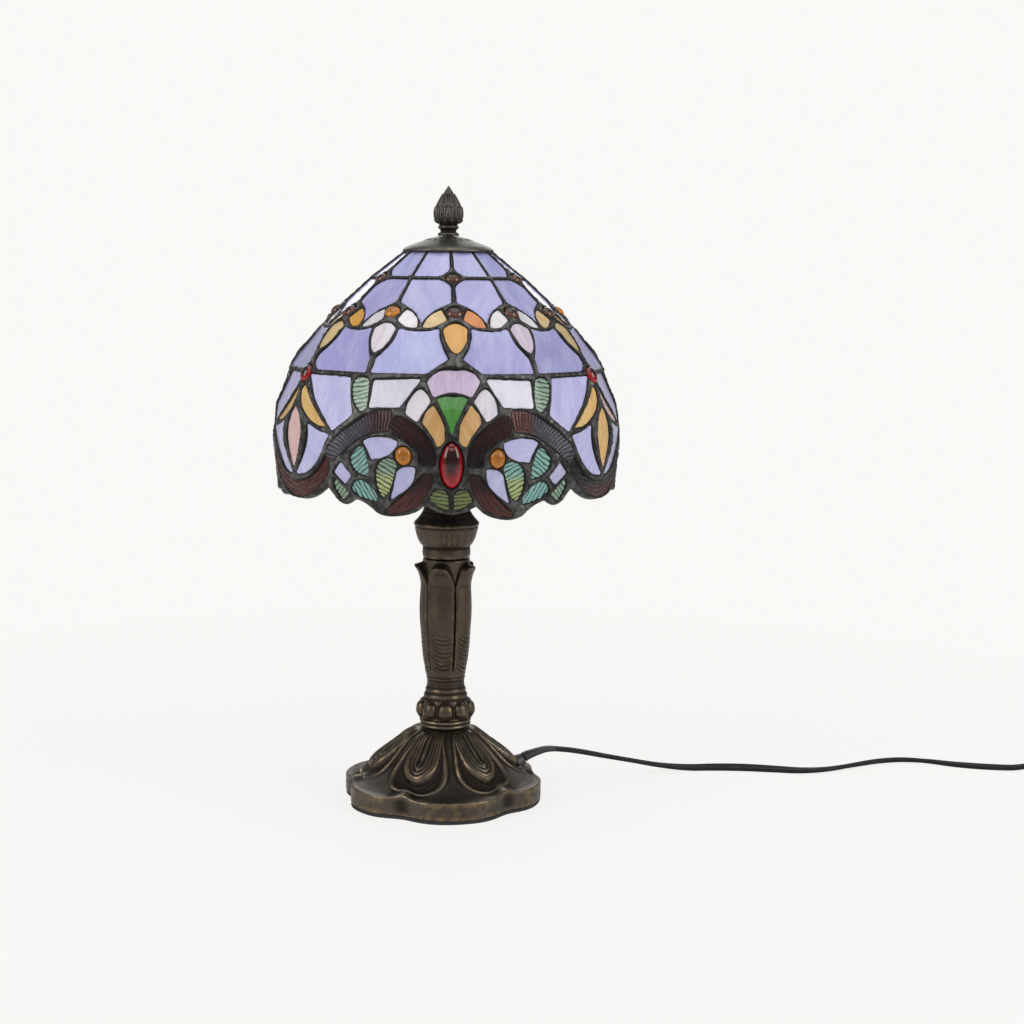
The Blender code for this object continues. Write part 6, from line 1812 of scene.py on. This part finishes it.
class LAMP_OT_stage(bpy.types.Operator):
    """Camera, floor, white surroundings and soft studio light."""
    bl_idname = "lamp.stage"
    bl_label = "Stage"

    def execute(self, context):
        scene = context.scene
        settings = scene.lamp_stage
        scene.view_settings.view_transform = 'Standard'
        self.add_camera(scene, settings)
        self.add_floor()
        self.add_world(scene)
        side, top = settings.side_light, settings.top_light
        for name, size, place, aim, power in (
                ("left", (0.6, 0.9), (-1.05, -0.55, 0.75), 0.2, side),
                ("right", (0.6, 0.9), (1.05, -0.55, 0.75), 0.2, side),
                ("front", (1.2, 0.4), (0.0, -1.25, 1.1), 0.1, 0.4 * side),
                ("top", (1.2, 1.2), (0.0, -0.1, 1.35), 0.2, top),
                ("back", (1.2, 0.6), (0.0, 1.2, 0.8), 0.2, 0.5 * side)):
            add_softbox(name + "_softbox", size, place, aim, power)
        return {'FINISHED'}

    def add_camera(self, scene, settings):
        """A camera at its height in front of the lamp, turned by yaw, pitch and roll."""
        turn = (Matrix.Rotation(-settings.yaw, 4, 'Z')
                @ Matrix.Rotation(0.5 * math.pi - settings.pitch, 4, 'X')
                @ Matrix.Rotation(settings.roll, 4, 'Z'))
        camera = bpy.data.objects.new("camera", bpy.data.cameras.new("camera"))
        camera.data.lens = settings.lens
        camera.data.sensor_width = 36.0
        camera.matrix_world = Matrix.Translation((0.0, -settings.distance, settings.height)) @ turn
        scene.collection.objects.link(camera)
        scene.camera = camera

    def add_floor(self):
        """A pale round table top; only its shadow shows to the camera."""
        angle = np.linspace(0.0, math.tau, 97)
        reach = np.array([0.0, 500.0, 1500.0, 4000.0])[:, None]
        points = np.stack([reach * np.cos(angle), reach * np.sin(angle), 0.0 * reach * angle], -1)
        floor = bpy.data.objects.new("floor", mesh_from_sheets("floor", [Sheet(points)]))
        bpy.context.scene.collection.objects.link(floor)
        material, tree, sockets = new_material("Pale table", Roughness=0.6)
        grain = noise(tree, object_coordinates(tree), 40.0, 3.0)
        pale = mix_colour(tree, grain, (0.80, 0.79, 0.78), (0.83, 0.82, 0.81))
        tree.links.new(pale, sockets['Base Color'])
        shader = tree.nodes["Principled BSDF"].outputs[0]
        output = tree.nodes["Material Output"]
        out = add_node(tree, 'ShaderNodeVectorMath', {0: object_coordinates(tree)},
                       operation='LENGTH').outputs['Value']
        far = remapped(tree, out, 0.22, 0.62, 0.86, 1.0)
        tree.links.new(bright_backdrop(tree, shader, far), output.inputs['Surface'])
        floor.data.materials.append(material)

    def add_world(self, scene):
        """Soft light from all round, and white behind the lamp."""
        scene.world = bpy.data.worlds.new("studio")
        scene.world.use_nodes = True
        tree = scene.world.node_tree
        soft = tree.nodes["Background"]
        soft.inputs['Color'].default_value = (1.0, 1.0, 1.0, 1.0)
        soft.inputs['Strength'].default_value = 0.17
        tree.links.new(bright_backdrop(tree, soft.outputs[0]),
                       tree.nodes["World Output"].inputs['Surface'])


# ==== add-on
OPERATORS = (
    LAMP_OT_base, LAMP_OT_column, LAMP_OT_socket_cup, LAMP_OT_vase_cap, LAMP_OT_finial,
    LAMP_OT_socket_and_bulb, LAMP_OT_harp, LAMP_OT_shade_glass, LAMP_OT_shade_jewels,
    LAMP_OT_shade_solder, LAMP_OT_bushing, LAMP_OT_switch, LAMP_OT_plug, LAMP_OT_coil_tie,
    LAMP_OT_cord, LAMP_OT_stage, )


class LAMP_PT_panel(bpy.types.Panel):
    """Lists the lamp's settings and its operators."""
    bl_idname = "LAMP_PT_panel"
    bl_label = "Lamp"
    bl_space_type = 'VIEW_3D'
    bl_region_type = 'UI'
    bl_category = "Lamp"

    def draw(self, context):
        for settings in SETTINGS:
            owner = getattr(context.scene, settings)
            for name in owner.__annotations__:
                self.layout.prop(owner, name)
        for operator in OPERATORS:
            self.layout.operator(operator.bl_idname)


SETTINGS = {
    "lamp_shape": LampShapeSettings, "lamp_glass": LampGlassSettings,
    "lamp_metal": LampMetalSettings, "lamp_stage": LampStageSettings, }


def register():
    for name, settings in SETTINGS.items():
        bpy.utils.register_class(settings)
        setattr(bpy.types.Scene, name, bpy.props.PointerProperty(type=settings))
    for operator in OPERATORS:
        bpy.utils.register_class(operator)
    bpy.utils.register_class(LAMP_PT_panel)


def unregister():
    bpy.utils.unregister_class(LAMP_PT_panel)
    for operator in reversed(OPERATORS):
        bpy.utils.unregister_class(operator)
    for name, settings in SETTINGS.items():
        delattr(bpy.types.Scene, name)
        bpy.utils.unregister_class(settings)


def main():
    """Builds the whole lamp in order."""
    register()
    build_streaks_group()
    build_wear_group()
    for operator in OPERATORS:
        group, name = operator.bl_idname.split(".")
        getattr(getattr(bpy.ops, group), name)()


if __name__ == "__main__":
    main()
